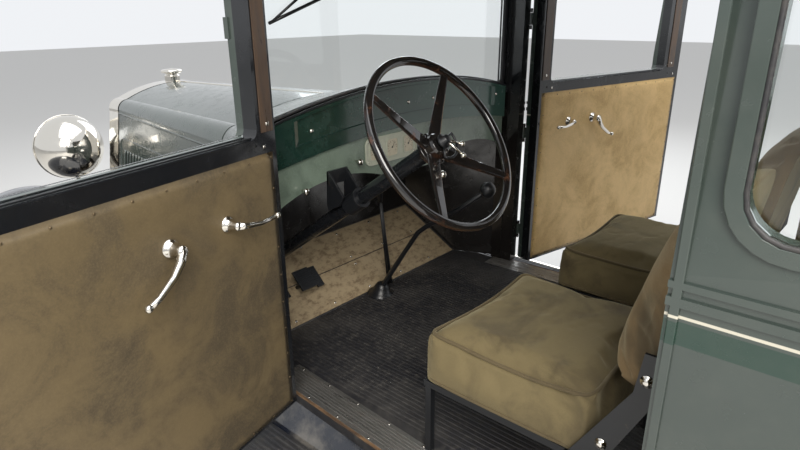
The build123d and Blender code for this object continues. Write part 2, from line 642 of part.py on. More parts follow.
    tank_x = RAIL_X - RAIL_WIDTH - 0.3
    save(rod((-tank_x, TANK_Y, 450), (tank_x, TANK_Y, 450), TANK_R), "fuel_tank", nodes)

    # Radiator
    rim = extrude(hood_wire(NOSE, 0, RADIATOR_Y), amount=HOOD_FRONT_Y - 6 - RADIATOR_Y, dir=(0, 1, 0))
    rim -= extrude(hood_wire(NOSE, RADIATOR_RIM, RADIATOR_Y - 1), amount=200, dir=(0, 1, 0))
    rim += block((-380, 380), (RADIATOR_Y + 4, HOOD_FRONT_Y - 10), (RADIATOR_BOTTOM, RADIATOR_BOTTOM + 26))
    rim += Pos(0, -1698, 1208) * Cylinder(34, 44)
    save(rim, "radiator_shell", nodes)
    core = extrude(hood_wire(NOSE, RADIATOR_RIM + 0.3, RADIATOR_Y + 14), amount=60, dir=(0, 1, 0))
    core &= block((-500, 500), (-2000, -1000), (RADIATOR_BOTTOM + 26.3, 1400))
    save(core, "radiator_core", nodes)

    # Hood
    hood = hood_loft(NOSE, WAIST) - hood_loft(NOSE, WAIST, HOOD_SHEET)
    span = (HOOD_FRONT_Y + HOOD_GAP, HOOD_REAR_Y - HOOD_GAP)
    top = hood & block((HOOD_ROD + 0.3, 600), span, (HOOD_SPLIT_Z + 2, 1400))
    bead_front = (split_x(span[0]) - HOOD_SHEET / 2, span[0], HOOD_SPLIT_Z)
    bead_rear = (split_x(span[1]) - HOOD_SHEET / 2, span[1], HOOD_SPLIT_Z)
    top += rod(bead_front, bead_rear, HOOD_ROD)
    side = hood & block((HOOD_ROD, 600), span, (HOOD_BOTTOM, HOOD_SPLIT_Z - HOOD_ROD - 0.3))
    save(top, "hood_top_left", nodes)
    save(right(top), "hood_top_right", nodes)
    save(side, "hood_side_left", nodes)
    save(right(side), "hood_side_right", nodes)
    hinge = rod((0, HOOD_FRONT_Y - 6, NOSE[-1] + 0.3), (0, HOOD_REAR_Y - 0.5, WAIST[-1] - 1), HOOD_ROD)
    save(hinge, "hood_hinge", nodes)
    ledge = block((LEDGE_X - 3, LEDGE_X), (HOOD_FRONT_Y - 5.7, HOOD_REAR_Y), (RAIL_TOP, HOOD_BOTTOM - HOOD_GAP))
    ledge += block((340, LEDGE_X), (HOOD_FRONT_Y - 5.7, HOOD_REAR_Y), (HOOD_BOTTOM - HOOD_GAP - 3, HOOD_BOTTOM - HOOD_GAP))
    save(pair(ledge), "hood_ledges", nodes)

    # Fenders, aprons and running boards
    front_fender = fender(FRONT_LINE, 1, LEDGE_X + 0.5)
    save(pair(front_fender), "front_fenders", nodes)
    rear_fender = fender(REAR_LINE, -1, FENDER_IN_X - 0.5)
    save(pair(rear_fender), "rear_fenders", nodes)
    board_y = (FRONT_LINE[-1][1], REAR_LINE[-1][1])
    board_top = BOARD_Z - BOARD_DROP
    board = block((APRON_X + 44, FENDER_OUT_X + 6), board_y, (board_top - BOARD_THICK, board_top))
    face = make_face(Polyline((APRON_X, FLOOR_TOP - SILL_UNDER - 0.3), (APRON_X + 4, FLOOR_TOP - SILL_UNDER - 0.3),
                              (APRON_X + 46, board_top), (APRON_X + 46, board_top - 10), (APRON_X + 42, board_top - 10),
                              (APRON_X + 42, board_top), close=True))
    place = Plane(origin=(0, board_y[0], 0), x_dir=(1, 0, 0), z_dir=(0, -1, 0))
    apron = extrude(place * face, amount=board_y[1] - board_y[0], dir=(0, 1, 0))
    save(pair(board + apron), "running_boards", nodes)

    # Lamps
    rim_r = LAMP_R
    bowl = spin_z([
        Line((0, -LAMP_DEPTH), (0, -36)),
        cap_arc(rim_r - 8, 4, -36),
        Line((rim_r - 8, 4), (rim_r - 8, 16)),
        Line((rim_r - 8, 16), (rim_r, 16)),
        Line((rim_r, 16), (rim_r, 0)),
        cap_arc(rim_r, 0, -LAMP_DEPTH),
    ])
    lens = spin_z([
        Line((0, 21), (0, 26)),
        cap_arc(rim_r - 8.3, 10, 26),
        Line((rim_r - 8.3, 10), (rim_r - 8.3, 6)),
        cap_arc(rim_r - 8.3, 6, 21),
    ])
    lamp_place = Plane(origin=LAMP_POS, x_dir=(1, 0, 0), z_dir=(0, -1, 0))
    bowl = lamp_place * bowl
    lens = lamp_place * lens
    save(pair(bowl), "headlamps", nodes)
    save(pair(lens), "headlamp_lenses", nodes)
    lamp_x, lamp_y, lamp_z = LAMP_POS
    post_y = lamp_y + 30
    bar = rod((-lamp_x, post_y, LAMP_BAR_Z), (lamp_x, post_y, LAMP_BAR_Z), 11)
    for side in (-1, 1):
        bar += rod((side * lamp_x, post_y, LAMP_BAR_Z), (side * lamp_x, post_y, lamp_z - rim_r + 1), 11)
        bar += rod((side * 407, post_y, LAMP_BAR_Z), (side * 407, post_y, 553.5), 11)
    bar -= pair(bowl)
    save(bar, "lamp_bar", nodes)

    # Dash
    dash = block((-560, 560), (-212, -206), (1015, 1240))
    save(dash, "dash", nodes)

    # Steering wheel and column
    wheel_plane = Plane(origin=STEER_POS, x_dir=(1, 0, 0), z_dir=axis)
    wheel = Torus(STEER_R, STEER_RIM)
    wheel += Pos(0, 0, -30) * Cylinder(34, 40)
    for i in range(4):
        angle = 45 + 90 * i
        wheel += Rot(0, 0, angle) * rod((0, 0, -30), (STEER_R, 0, 0), 8)
    save(wheel_plane * wheel, "steering_wheel", nodes)
    column = rod(top_at, low_at, COLUMN_R) + Pos(*low_at) * Box(90, 110, 110)
    save(column, "steering_column", nodes)

    # Controls on the floor
    levers = rod((0, -355, 540), (20, 110, 1010), 8) + Pos(20, 110, 1010) * Sphere(22)
    brake = rod((-80, -380, 520), (-60, -400, 860), 8)
    save(group(levers, brake), "floor_controls", nodes)

    # Seats
    cushion = block((SEAT_IN, SEAT_OUT), (SEAT_FRONT_Y, SEAT_REAR_Y), (SEAT_BASE_Z, SEAT_TOP_Z))
    save(pair(cushion), "front_cushions", nodes)
    low = SEAT_TOP_Z + 0.3
    rest = plate_x([(680, low), (790, low), (850, 1240), (790, 1240)], SEAT_IN, SEAT_OUT)
    save(pair(rest), "front_backrests", nodes)
    bar = 16
    under = SEAT_BASE_Z - 0.3
    frame_in = SEAT_IN + 14
    frame_out = SEAT_OUT - 14
    seat_frame = block((frame_in, frame_out), (SEAT_FRONT_Y + 15, SEAT_REAR_Y + 20), (under - bar, under))
    seat_frame -= block((frame_in + bar, frame_out - bar), (SEAT_FRONT_Y + 15 + bar, SEAT_REAR_Y + 4), (under - bar, under))
    for x in (frame_in, frame_out - bar):
        for y in (SEAT_FRONT_Y + 20, SEAT_REAR_Y - 20):
            seat_frame += block((x, x + bar), (y, y + bar), (FLOOR_TOP, under))
    for x in (SEAT_IN - 6.3, SEAT_OUT + 0.3):
        arm = plate_x([(640, under - bar), (705, under - bar), (800, 900), (800, 980), (770, 980), (760, 900)], x, x + 6)
        seat_frame += arm
    for y in (645, SEAT_REAR_Y + 4):
        seat_frame += block((SEAT_IN - 6.3, SEAT_OUT + 6.3), (y, y + bar), (under - bar, under))
    save(pair(seat_frame), "seat_frames", nodes)
    save(block((-556, 556), (REAR_SEAT_Y, 1560), (SEAT_PAN_TOP + 0.3, 840)), "rear_cushion", nodes)
    back = plate_x([(1575, SEAT_PAN_TOP + 0.3), (1700, SEAT_PAN_TOP + 0.3), (1745, 1260), (1680, 1260)], -556, 556)
    save(back & body_form(-BODY_WALL - 8), "rear_backrest", nodes)

    # Wheels and tyres
    wheel = make_wheel()
    tyre = make_tyre()
    for name, x, y in (("front_left", WHEEL_X, FRONT_AXLE_Y), ("front_right", -WHEEL_X, FRONT_AXLE_Y),
                       ("rear_left", WHEEL_X, REAR_AXLE_Y), ("rear_right", -WHEEL_X, REAR_AXLE_Y)):
        turn = Rot(0, 90, 0) if x > 0 else Rot(0, -90, 0)
        save(Pos(x, y, AXLE_Z) * turn * wheel, "wheel_" + name, nodes)
        save(Pos(x, y, AXLE_Z) * turn * tyre, "tyre_" + name, nodes)
    lay = Pos(0, SPARE_Y, SPARE_Z) * Rot(-90, 0, 0)
    save(lay * wheel, "spare_wheel", nodes)
    save(lay * tyre, "spare_tyre", nodes)
    carrier = rod((0, BODY_REAR_Y - 8, SPARE_Z), (0, SPARE_Y + 40, SPARE_Z), 18)
    save(carrier, "spare_carrier", nodes)

    # Bumpers
    tall, thick = BUMPER_BAR
    front_bar = block((-760, 760), (BUMPER_FRONT_Y, BUMPER_FRONT_Y + thick), (430, 430 + tall))
    for s in (-1, 1):
        front_bar += block((s * 410, s * 424), (BUMPER_FRONT_Y + thick, RAIL_FRONT_Y - 0.3), (440, 470))
    rear_bar = block((330, 760), (BUMPER_REAR_Y - thick, BUMPER_REAR_Y), (430, 430 + tall))
    rear_bar += block((410, 424), (RAIL_REAR_Y + 0.3, BUMPER_REAR_Y - thick), (470, 488))
    save(group(front_bar, rear_bar, right(rear_bar)), "bumpers", nodes)

    for name, shape in nodes.items():
        export_step(shape, "parts/" + name + ".step")


def make_wheel():
    """Wood-spoked wheel with its axle along Z and its outer face up."""
    hub = Cylinder(46, 104) + Pos(0, 0, 60) * Cone(40, 30, 20)
    hub += Pos(0, 0, -38) * (Cylinder(DRUM_R, 32) - Pos(0, 0, -6) * Cylinder(DRUM_R - 6, 32))
    hub += Pos(0, 0, 2) * Cylinder(88, 46)
    felloe = Cylinder(RIM_RADIUS - 18, 44) - Cylinder(RIM_RADIUS - 46, 44)
    rim = Cylinder(RIM_RADIUS - 0.3, RIM_WIDTH - 24) - Cylinder(RIM_RADIUS - 19, RIM_WIDTH)
    wheel = hub + felloe + rim
    for i in range(SPOKES):
        spoke = Pos(80, 0, 0) * Rot(0, 90, 0) * Cone(20, 15, RIM_RADIUS - 46 - 74, align=(Align.CENTER, Align.CENTER, Align.MIN))
        wheel += Rot(0, 0, i * 360 / SPOKES) * spoke
    return wheel - Pos(0, 0, -50) * Cylinder(SPINDLE_R + RUN_GAP, 200)


def make_tyre():
    """Balloon tyre with its axle along Z."""
    outer = TYRE_OD / 2
    half = TYRE_WIDTH / 2
    bead = RIM_WIDTH / 2 - 14
    mid = (outer + RIM_RADIUS) / 2
    edges = [
        Line((RIM_RADIUS, -bead), (RIM_RADIUS, bead)),
        ThreePointArc((RIM_RADIUS, bead), (mid - 6, half), (outer - 16, half - 16)),
        ThreePointArc((outer - 16, half - 16), (outer, 0), (outer - 16, -half + 16)),
        ThreePointArc((outer - 16, -half + 16), (mid - 6, -half), (RIM_RADIUS, -bead)),
    ]
    return spin_z(edges)


main()
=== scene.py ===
import math

import bmesh
import bpy
from mathutils import Matrix, Vector, noise
from mathutils.bvhtree import BVHTree


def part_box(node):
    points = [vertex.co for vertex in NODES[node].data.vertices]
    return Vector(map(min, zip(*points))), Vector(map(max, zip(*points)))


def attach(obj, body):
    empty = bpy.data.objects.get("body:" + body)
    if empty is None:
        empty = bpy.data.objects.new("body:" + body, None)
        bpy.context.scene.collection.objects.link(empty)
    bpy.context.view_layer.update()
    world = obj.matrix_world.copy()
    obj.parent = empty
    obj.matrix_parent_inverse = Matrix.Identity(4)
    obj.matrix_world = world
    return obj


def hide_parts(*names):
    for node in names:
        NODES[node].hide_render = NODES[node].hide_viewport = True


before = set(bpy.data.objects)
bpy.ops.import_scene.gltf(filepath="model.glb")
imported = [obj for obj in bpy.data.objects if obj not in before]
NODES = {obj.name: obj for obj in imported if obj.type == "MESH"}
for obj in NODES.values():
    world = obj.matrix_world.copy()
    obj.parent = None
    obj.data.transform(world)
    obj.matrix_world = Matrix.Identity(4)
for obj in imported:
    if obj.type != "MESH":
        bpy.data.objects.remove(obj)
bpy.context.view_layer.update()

# The visual model of a light two-door closed car of the late 1920s, in metres.
# +X is the driver's left, +Y the rear and +Z up.

SIDES = (("left", 1), ("right", -1))

# Camera, at the photograph's viewing angle
CAMERA_AT = (1.448, 1.017, 1.510)
CAMERA_YAW = 48.684
CAMERA_PITCH = 20.012
CAMERA_ROLL = -0.529
CAMERA_LENS = 26.38

# Sizes shared with the solid model
HINGE = Vector((0.635, -0.150, 0.0))
DOOR_OPEN = math.radians(77)
BODY_TAPER = math.atan2(50, 970)
DOOR_INNER = 0.063
WINDOW_S = (0.066, 0.838)
WINDOW_Z = 1.245
WINDOW_TOP = 1.605
FLOOR_TOP = 0.505
SILL_S = (-0.080, 0.945)
SILL_N = (0.033, 0.132)
TOE_Y = (-0.400, -0.606)
TOE_Z = (0.505, 0.705)
CABIN_MIDDLE = (0.0, 0.75, 1.05)
DASH_Y = -0.198
STEER_AT = Vector((0.333, 0.178, 1.216))
STEER_TILT = math.radians(34.8)
AXLE_Z = 0.381
FRONT_AXLE_Y = -1.640
REAR_AXLE_Y = 1.281
WHEEL_X = 0.711
SPARE_AT = (0.0, 1.934, 0.745)
TYRE_R = 0.381
TYRE_HALF = 0.0575
RIM_R = 0.267
SPOKES = 12
LAMP_AT = (0.460, -1.851, 0.943)
LAMP_R = 0.142
BUMPER_Y = 2.150
BOARD_TOP = 0.406
SCREEN_Y = -0.220
SCREEN_HALF = 0.541
SCREEN_TOP = 1.6395
QUARTER_Y = (0.885, 1.560)
REST_LEAN = 0.154

# Sizes of trim that only this model has; a dial is its place across and its half width
TRIM_S = (0.020, 0.944)
TRIM_Z = (0.518, 1.209)
STRIPE_Z = 1.122
DARK_Z = (1.080, 1.115)
DASH_HALF = 0.560
PLATE_Y = -0.203
APRON_Y = (-0.212, -0.2065)
DIALS = ((0.016, 0.022), (0.094, 0.024), (0.172, 0.022))
DIAL_Z = 1.1085

# Colours, as they are seen in plain light
SAGE = (0.043, 0.057, 0.050, 1)
STRIPE_GREEN = (0.012, 0.040, 0.028, 1)
CREAM = (0.60, 0.57, 0.47, 1)
BLACK = (0.010, 0.011, 0.013, 1)
BLUE_BLACK = (0.012, 0.015, 0.024, 1)
TAN = (0.150, 0.110, 0.056, 1)
TAN_DARK = (0.058, 0.043, 0.024, 1)
# Gold is the tan board with painted sunlight on it
SUNLIT_GOLD = (0.66, 0.45, 0.19, 1)
OLIVE = (0.180, 0.140, 0.066, 1)
OLIVE_DARK = (0.060, 0.045, 0.024, 1)
BROWN = (0.040, 0.024, 0.015, 1)
DUST = (0.33, 0.30, 0.25, 1)
RUST = (0.16, 0.07, 0.03, 1)


# Material graphs


class Surface:
    """One material with short calls for the patterns used here."""

    def __init__(self, name, color, roughness, metallic=0.0, coat=None, **inputs):
        self.material = bpy.data.materials.new(name)
        self.material.use_nodes = True
        self.tree = self.material.node_tree
        self.shader = self.tree.nodes["Principled BSDF"]
        self.set("Base Color", color)
        self.set("Roughness", roughness)
        self.set("Metallic", metallic)
        if coat:
            self.set("Coat Weight", coat[0])
            self.set("Coat Roughness", coat[1])
        for key, value in inputs.items():
            self.set(key.replace("_", " "), value)
        self.coords = self.add("ShaderNodeTexCoord")
        self.place = self.coords.outputs["Object"]
        self.height = None

    def add(self, kind, **settings):
        node = self.tree.nodes.new(kind)
        for key, value in settings.items():
            setattr(node, key, value)
        return node

    def join(self, source, target):
        self.tree.links.new(source, target)

    def fill(self, socket, value):
        if hasattr(value, "is_linked"):
            self.join(value, socket)
        else:
            socket.default_value = value

    def set(self, key, value):
        self.fill(self.shader.inputs[key], value)

    def axes(self, place=None):
        """Separate x, y and z outputs."""
        node = self.add("ShaderNodeSeparateXYZ")
        self.join(place or self.place, node.inputs[0])
        return node.outputs

    def pattern(self, kind, scale, stretch, **settings):
        """Texture node on the place, which may be stretched by three factors."""
        node = self.add(kind, **settings)
        place = self.place
        if stretch:
            mapping = self.add("ShaderNodeMapping")
            self.join(place, mapping.inputs["Vector"])
            mapping.inputs["Scale"].default_value = stretch
            place = mapping.outputs[0]
        self.join(place, node.inputs["Vector"])
        node.inputs["Scale"].default_value = scale
        return node

    def noise(self, scale, detail=4.0, rough=0.55, stretch=None, distort=0.0):
        """Value of a cloudy pattern, about 0.2 to 0.8."""
        node = self.pattern("ShaderNodeTexNoise", scale, stretch)
        node.inputs["Detail"].default_value = detail
        node.inputs["Roughness"].default_value = rough
        node.inputs["Distortion"].default_value = distort
        return node.outputs["Fac"]

    def cells(self, scale, stretch=None):
        return self.pattern("ShaderNodeTexVoronoi", scale, stretch).outputs["Distance"]

    def math(self, kind, a, b=0.0):
        node = self.add("ShaderNodeMath", operation=kind)
        self.fill(node.inputs[0], a)
        self.fill(node.inputs[1], b)
        return node.outputs[0]

    def times(self, a, b):
        return self.math("MULTIPLY", a, b)

    def fade(self, value, low, high, to_low=0.0, to_high=1.0):
        """Value mapped smoothly so that low gives to_low and high gives to_high, held beyond."""
        node = self.add("ShaderNodeMapRange", interpolation_type="SMOOTHSTEP")
        keys = ("Value", "From Min", "From Max", "To Min", "To Max")
        for key, given in zip(keys, (value, low, high, to_low, to_high)):
            self.fill(node.inputs[key], given)
        return node.outputs["Result"]

    def patch(self, scale, detail, rough, low, high, **pattern):
        """Clouds cut to a share that runs from 0 at low to 1 at high."""
        return self.fade(self.noise(scale, detail, rough, **pattern), low, high)

    def band(self, value, low, high, soft=0.001):
        """1 between low and high, 0 outside."""
        up = self.fade(value, low - soft, low + soft)
        return self.times(up, self.fade(value, high - soft, high + soft, 1.0, 0.0))

    def mix(self, share, a, b):
        """Colour from a to b by share."""
        node = self.add("ShaderNodeMix", data_type="RGBA")
        self.fill(node.inputs["Factor"], share)
        self.fill(node.inputs[6], a)
        self.fill(node.inputs[7], b)
        return node.outputs[2]

    def color(self, value):
        self.set("Base Color", value)

    def rough(self, share, low, high):
        """Roughness from low to high by share."""
        self.set("Roughness", self.fade(share, 0.0, 1.0, low, high))

    def bump(self, value, depth, strength=1.0):
        """Relief of a height pattern, depth in metres. Calls add up."""
        node = self.add("ShaderNodeBump")
        node.inputs["Strength"].default_value = strength
        node.inputs["Distance"].default_value = depth
        self.join(value, node.inputs["Height"])
        if self.height:
            self.join(self.height, node.inputs["Normal"])
        self.height = node.outputs[0]
        self.set("Normal", self.height)


def tinted(color, factor):
    """The colour made lighter or darker."""
    return tuple(c * factor for c in color[:3]) + (1,)


def dusty(s, base, share=0.35, low_z=0.55):
    """Colour with road dust that gathers low down."""
    low = s.fade(s.axes()["Z"], 0.25, low_z, 1.0, 0.12)
    return s.mix(s.times(s.times(low, s.patch(9, 6, 0.65, 0.42, 0.72)), share), base, DUST)


def inside_share(s):
    """1 on faces that look towards the cabin's middle."""
    away = s.add("ShaderNodeVectorMath", operation="SUBTRACT")
    s.join(s.place, away.inputs[0])
    away.inputs[1].default_value = CABIN_MIDDLE
    facing = s.add("ShaderNodeVectorMath", operation="DOT_PRODUCT")
    s.join(away.outputs[0], facing.inputs[0])
    s.join(s.coords.outputs["Normal"], facing.inputs[1])
    return s.fade(facing.outputs["Value"], -0.02, 0.02, 1.0, 0.0)


def enamel(name, coat):
    """Aged body enamel: slight clouding, with fine orange peel in relief. Returns surface and colour."""
    s = Surface(name, SAGE, 0.2, coat=coat)
    cloud = s.fade(s.noise(2.2, 3), 0.3, 0.7)
    s.bump(s.noise(420, 2), 0.00012, 0.35)
    s.rough(s.fade(s.noise(26, 5), 0.35, 0.75), 0.14, 0.30)
    return s, s.mix(cloud, SAGE, tinted(SAGE, 1.22))


def striped(s, tone, along=None):
    """Belt colours: a cream line with a dark green stripe under it."""
    z = s.axes()["Z"]
    line = s.band(z, STRIPE_Z - 0.0022, STRIPE_Z + 0.0022, 0.0006)
    dark = s.band(z, *DARK_Z, 0.0008)
    if along:
        line, dark = s.times(line, along), s.times(dark, along)
    return s.mix(line, s.mix(dark, tone, STRIPE_GREEN), CREAM)


def paint_body(name="body_enamel", lining=None):
    """Body enamel outside, and trim board or another lining on the cabin's inner faces."""
    s, tone = enamel(name, (0.35, 0.12))
    tone = dusty(s, striped(s, tone, s.fade(s.axes()["Y"], -0.62, -0.61)), 0.3)
    board = s.mix(s.patch(7, 5, 0.6, 0.35, 0.7), tinted(TAN, 0.8), OLIVE)
    board = s.mix(s.fade(s.axes()["Z"], 1.19, 1.2), board, (0.125, 0.105, 0.07, 1))
    s.color(s.mix(inside_share(s), tone, lining or board))
    return s.material


def paint_screen_frame():
    """Body enamel on the outer posts, and black on the sash and inner faces."""
    s, tone = enamel("screen_frame_enamel", (0.4, 0.08))
    outer = s.fade(s.math("ABSOLUTE", s.axes()["X"]), 0.5615, 0.5625)
    painted = s.times(outer, s.math("SUBTRACT", 1.0, inside_share(s)))
    s.color(s.mix(painted, BLACK, dusty(s, tone, 0.2)))
    return s.material


def paint_hood():
    """Body enamel on the hood, with a thin film of dust."""
    s, tone = enamel("hood_enamel", (0.5, 0.08))
    s.color(dusty(s, tone, 0.25))
    return s.material


def paint_door(side):
    """Body enamel on a door's outer half and black on its inner half."""
    s, tone = enamel("door_enamel_" + side, (0.4, 0.08))
    sign = 1 if side == "left" else -1
    turn = s.add("ShaderNodeMapping", vector_type="TEXTURE")
    s.join(s.place, turn.inputs["Vector"])
    turn.inputs["Location"].default_value = (sign * HINGE.x, HINGE.y, 0)
    turn.inputs["Rotation"].default_value = (0, 0, -sign * DOOR_OPEN)
    turn.inputs["Scale"].default_value = (-sign, 1, 1)
    inner = s.fade(s.axes(turn.outputs[0])["X"], 0.024, 0.026)
    s.color(s.mix(inner, dusty(s, striped(s, tone), 0.3), BLACK))
    return s.material


def black_enamel():
    """Blue-black gloss of the fenders, dusty low down."""
    s = Surface("black_enamel", BLUE_BLACK, 0.15, coat=(0.5, 0.06))
    s.rough(s.patch(14, 6, 0.65, 0.35, 0.75), 0.10, 0.3)
    s.bump(s.noise(300, 2), 0.0001, 0.3)
    s.color(dusty(s, BLUE_BLACK, 0.5, 0.8))
    return s.material


def black_satin():
    """Satin black paint, rubbed through in small spots."""
    s = Surface("black_satin", BLACK, 0.45)
    worn = s.patch(55, 6, 0.7, 0.62, 0.72)
    s.color(s.mix(worn, BLACK, (0.07, 0.05, 0.04, 1)))
    s.rough(worn, 0.36, 0.6)
    return s.material


def column_black():
    """Black column tube, with nickel above the wheel's hub."""
    s = Surface("column_black", BLACK, 0.25, coat=(0.3, 0.1))
    _, y, z = s.axes()
    back, rise = math.cos(STEER_TILT), math.sin(STEER_TILT)
    up = s.math("ADD", s.times(y, back), s.times(z, rise))
    hub = STEER_AT.y * back + STEER_AT.z * rise
    top = s.fade(up, hub - 0.006, hub - 0.005)
    worn = s.mix(s.patch(60, 6, 0.7, 0.6, 0.72), BLACK, (0.05, 0.035, 0.025, 1))
    s.color(s.mix(top, worn, (0.66, 0.62, 0.55, 1)))
    s.set("Metallic", top)
    s.rough(s.fade(s.noise(40, 5), 0.35, 0.7), 0.14, 0.34)
    return s.material


def roof_cloth():
    """Dark grained cloth outside and pale headlining inside."""
    s = Surface("roof_cloth", BLACK, 0.55)
    s.bump(s.cells(260, (1, 0.7, 1)), 0.0006, 0.7)
    outer = s.mix(s.fade(s.noise(3, 4), 0.35, 0.7), (0.016, 0.015, 0.014, 1), (0.05, 0.047, 0.042, 1))
    s.color(s.mix(inside_share(s), outer, (0.16, 0.13, 0.09, 1)))
    return s.material


def clear_glass():
    """Clear plate that lets light through, with a faint film of dirt."""
    s = Surface("plate_glass", (0.93, 0.96, 0.95, 1), 0.02, Transmission_Weight=1.0, IOR=1.45)
    s.rough(s.patch(6, 5, 0.6, 0.5, 0.8), 0.01, 0.06)
    path = s.add("ShaderNodeLightPath")
    through = s.add("ShaderNodeBsdfTransparent")
    through.inputs["Color"].default_value = (0.86, 0.9, 0.88, 1)
    blend = s.add("ShaderNodeMixShader")
    sources = (path.outputs["Is Shadow Ray"], s.shader.outputs[0], through.outputs[0])
    for source, target in zip(sources, blend.inputs):
        s.join(source, target)
    s.join(blend.outputs[0], s.tree.nodes["Material Output"].inputs["Surface"])
    return s.material


def lens_glass():
    """Ribbed glass of the headlamps."""
    s = Surface("lens_glass", (0.9, 0.92, 0.9, 1), 0.06, Transmission_Weight=1.0, IOR=1.5)
    s.bump(s.math("SINE", s.times(s.axes()["X"], 900.0)), 0.0012, 0.6)
    return s.material


def nickel():
    """Old plating, hazed and lightly pitted."""
    s = Surface("nickel", CREAM, 0.1, 1.0)
    s.rough(s.patch(30, 6, 0.7, 0.4, 0.75), 0.06, 0.22)
    s.color(s.mix(s.patch(190, 4, 0.7, 0.66, 0.74), (0.72, 0.69, 0.63, 1), (0.20, 0.15, 0.10, 1)))
    return s.material


def iron(name, color, rust):
    """Rough metal with rust in patches and dust."""
    s = Surface(name, color, 0.6, 0.4)
    patch = s.patch(22, 8, 0.7, 0.45, 0.65)
    s.color(dusty(s, s.mix(s.times(patch, rust), color, RUST), 0.5, 0.7))
    s.rough(patch, 0.45, 0.85)
    s.bump(s.noise(120, 6, 0.7), 0.0008, 0.6)
    return s.material


def radiator_fins():
    """Brass between gaps painted near black as shade."""
    s = Surface("radiator_fins", BROWN, 0.45, 0.6)
    cell = s.cells(150, (1, 0.05, 1))
    s.bump(cell, 0.004, 1.0)
    # Painted shade: the gaps between the brass are near black.
    s.color(s.mix(s.fade(cell, 0.2, 0.5), (0.11, 0.09, 0.05, 1), (0.008, 0.008, 0.008, 1)))
    return s.material


def floor_rubber():
    """Charcoal rubber with dust and grit trodden into it."""
    s = Surface("floor_rubber", BLACK, 0.7)
    grit = s.patch(45, 8, 0.75, 0.45, 0.75)
    tread = s.patch(4.5, 5, 0.6, 0.42, 0.7)
    s.bump(s.noise(500, 5, 0.7), 0.0008, 0.5)
    tone = s.mix(grit, (0.020, 0.020, 0.023, 1), (0.070, 0.065, 0.058, 1))
    s.color(s.mix(s.times(tread, 0.5), tone, (0.085, 0.080, 0.074, 1)))
    s.rough(grit, 0.5, 0.85)
    return s.material


def toe_paint():
    """Tan boards, scuffed by feet."""
    s = Surface("toe_paint", TAN, 0.6)
    scuff = s.patch(28, 8, 0.72, 0.42, 0.68, stretch=(1, 1.6, 1.6))
    s.color(s.mix(scuff, (0.36, 0.28, 0.17, 1), (0.17, 0.12, 0.07, 1)))
    s.bump(s.noise(150, 6, 0.7), 0.0006, 0.5)
    s.rough(scuff, 0.5, 0.8)
    return s.material


def dash_green():
    """Dark green enamel of the arched panel, with painted sunlight making it paler on the passenger's side.
    """
    s = Surface("dash_green", STRIPE_GREEN, 0.16, coat=(0.5, 0.06))
    grime = s.patch(18, 6, 0.65, 0.4, 0.75)
    cloud = s.patch(3.2, 3, 0.5, 0.35, 0.65)
    # Painted sunlight: the panel lightens towards the passenger's side.
    passenger = s.fade(s.axes()["X"], -0.25, 0.18, 1.0, 0.0)
    green = s.mix(grime, (0.009, 0.028, 0.021, 1), (0.017, 0.042, 0.033, 1))
    green = s.mix(s.times(cloud, 0.4), green, (0.022, 0.062, 0.049, 1))
    s.color(s.mix(s.times(passenger, 0.6), green, (0.060, 0.135, 0.108, 1)))
    s.rough(grime, 0.12, 0.32)
    return s.material


def dash_sage():
    """Pale sage paint of the lower apron, rubbed and dusty."""
    s = Surface("dash_sage", SAGE, 0.3, coat=(0.3, 0.15))
    grime = s.patch(14, 6, 0.68, 0.4, 0.75)
    s.color(s.mix(grime, (0.17, 0.22, 0.175, 1), (0.10, 0.135, 0.105, 1)))
    s.rough(grime, 0.2, 0.45)
    return s.material


def mohair(name="mohair", base=OLIVE):
    """Short worn pile with fine ribs of shade and dark rubbed patches."""
    s = Surface(name, base, 0.92, Sheen_Weight=0.35, Sheen_Roughness=0.45, Sheen_Tint=(0.75, 0.66, 0.42, 1))
    pile = s.noise(900, 3, 0.7)
    worn = s.patch(5.5, 5, 0.6, 0.48, 0.68, distort=0.6)
    stain = s.patch(14, 6, 0.65, 0.55, 0.75)
    tone = s.mix(s.fade(pile, 0.3, 0.7), tinted(base, 0.75), base)
    tone = s.mix(s.times(worn, 0.8), tone, OLIVE_DARK)
    s.color(s.mix(s.times(stain, 0.4), tone, (0.045, 0.035, 0.022, 1)))
    s.bump(pile, 0.0006, 0.55)
    s.bump(s.noise(60, 5, 0.6), 0.0012, 0.35)
    return s.material


def trim_board(name="trim_board", light=TAN, dark=TAN_DARK):
    """Tan covered board, mottled by handling and damp."""
    s = Surface(name, light, 0.62)
    mottle = s.patch(6.5, 7, 0.68, 0.36, 0.68, distort=0.4)
    smudge = s.patch(2.4, 4, 0.6, 0.45, 0.72)
    fine = s.noise(240, 5, 0.7)
    tone = s.mix(s.times(smudge, 0.6), s.mix(mottle, light, dark), tinted(light, 0.72))
    s.color(s.mix(s.times(s.fade(fine, 0.4, 0.7), 0.25), tone, tinted(light, 1.5)))
    s.rough(mottle, 0.5, 0.75)
    s.bump(fine, 0.0005, 0.5)
    s.bump(s.noise(12, 4), 0.003, 0.25)
    return s.material


def grained(name, pattern, cut, tones, relief, roughness=0.8, gloss=None, metallic=0.0, coat=None):
    """Streaked surface whose colour, gloss and relief follow one grain."""
    s = Surface(name, tones[0], roughness, metallic, coat)
    grain = s.noise(*pattern)
    s.color(s.mix(s.fade(grain, *cut), *tones))
    if gloss:
        s.rough(s.fade(grain, 0.3, 0.7), *gloss)
    s.bump(grain, *relief)
    return s.material


def wheel_rim_black():
    """Hard black rubber, worn to brown in patches, and brown on the faces that look down."""
    s = Surface("steering_black", BLACK, 0.14, coat=(0.6, 0.05))
    worn = s.patch(28, 6, 0.65, 0.55, 0.72)
    low = s.fade(s.axes(s.coords.outputs["Normal"])["Z"], -0.75, -0.2, 1.0, 0.0)
    share = s.math("MAXIMUM", worn, s.times(low, 0.7))
    s.color(s.mix(share, (0.010, 0.009, 0.009, 1), (0.070, 0.030, 0.016, 1)))
    s.rough(worn, 0.10, 0.34)
    return s.material


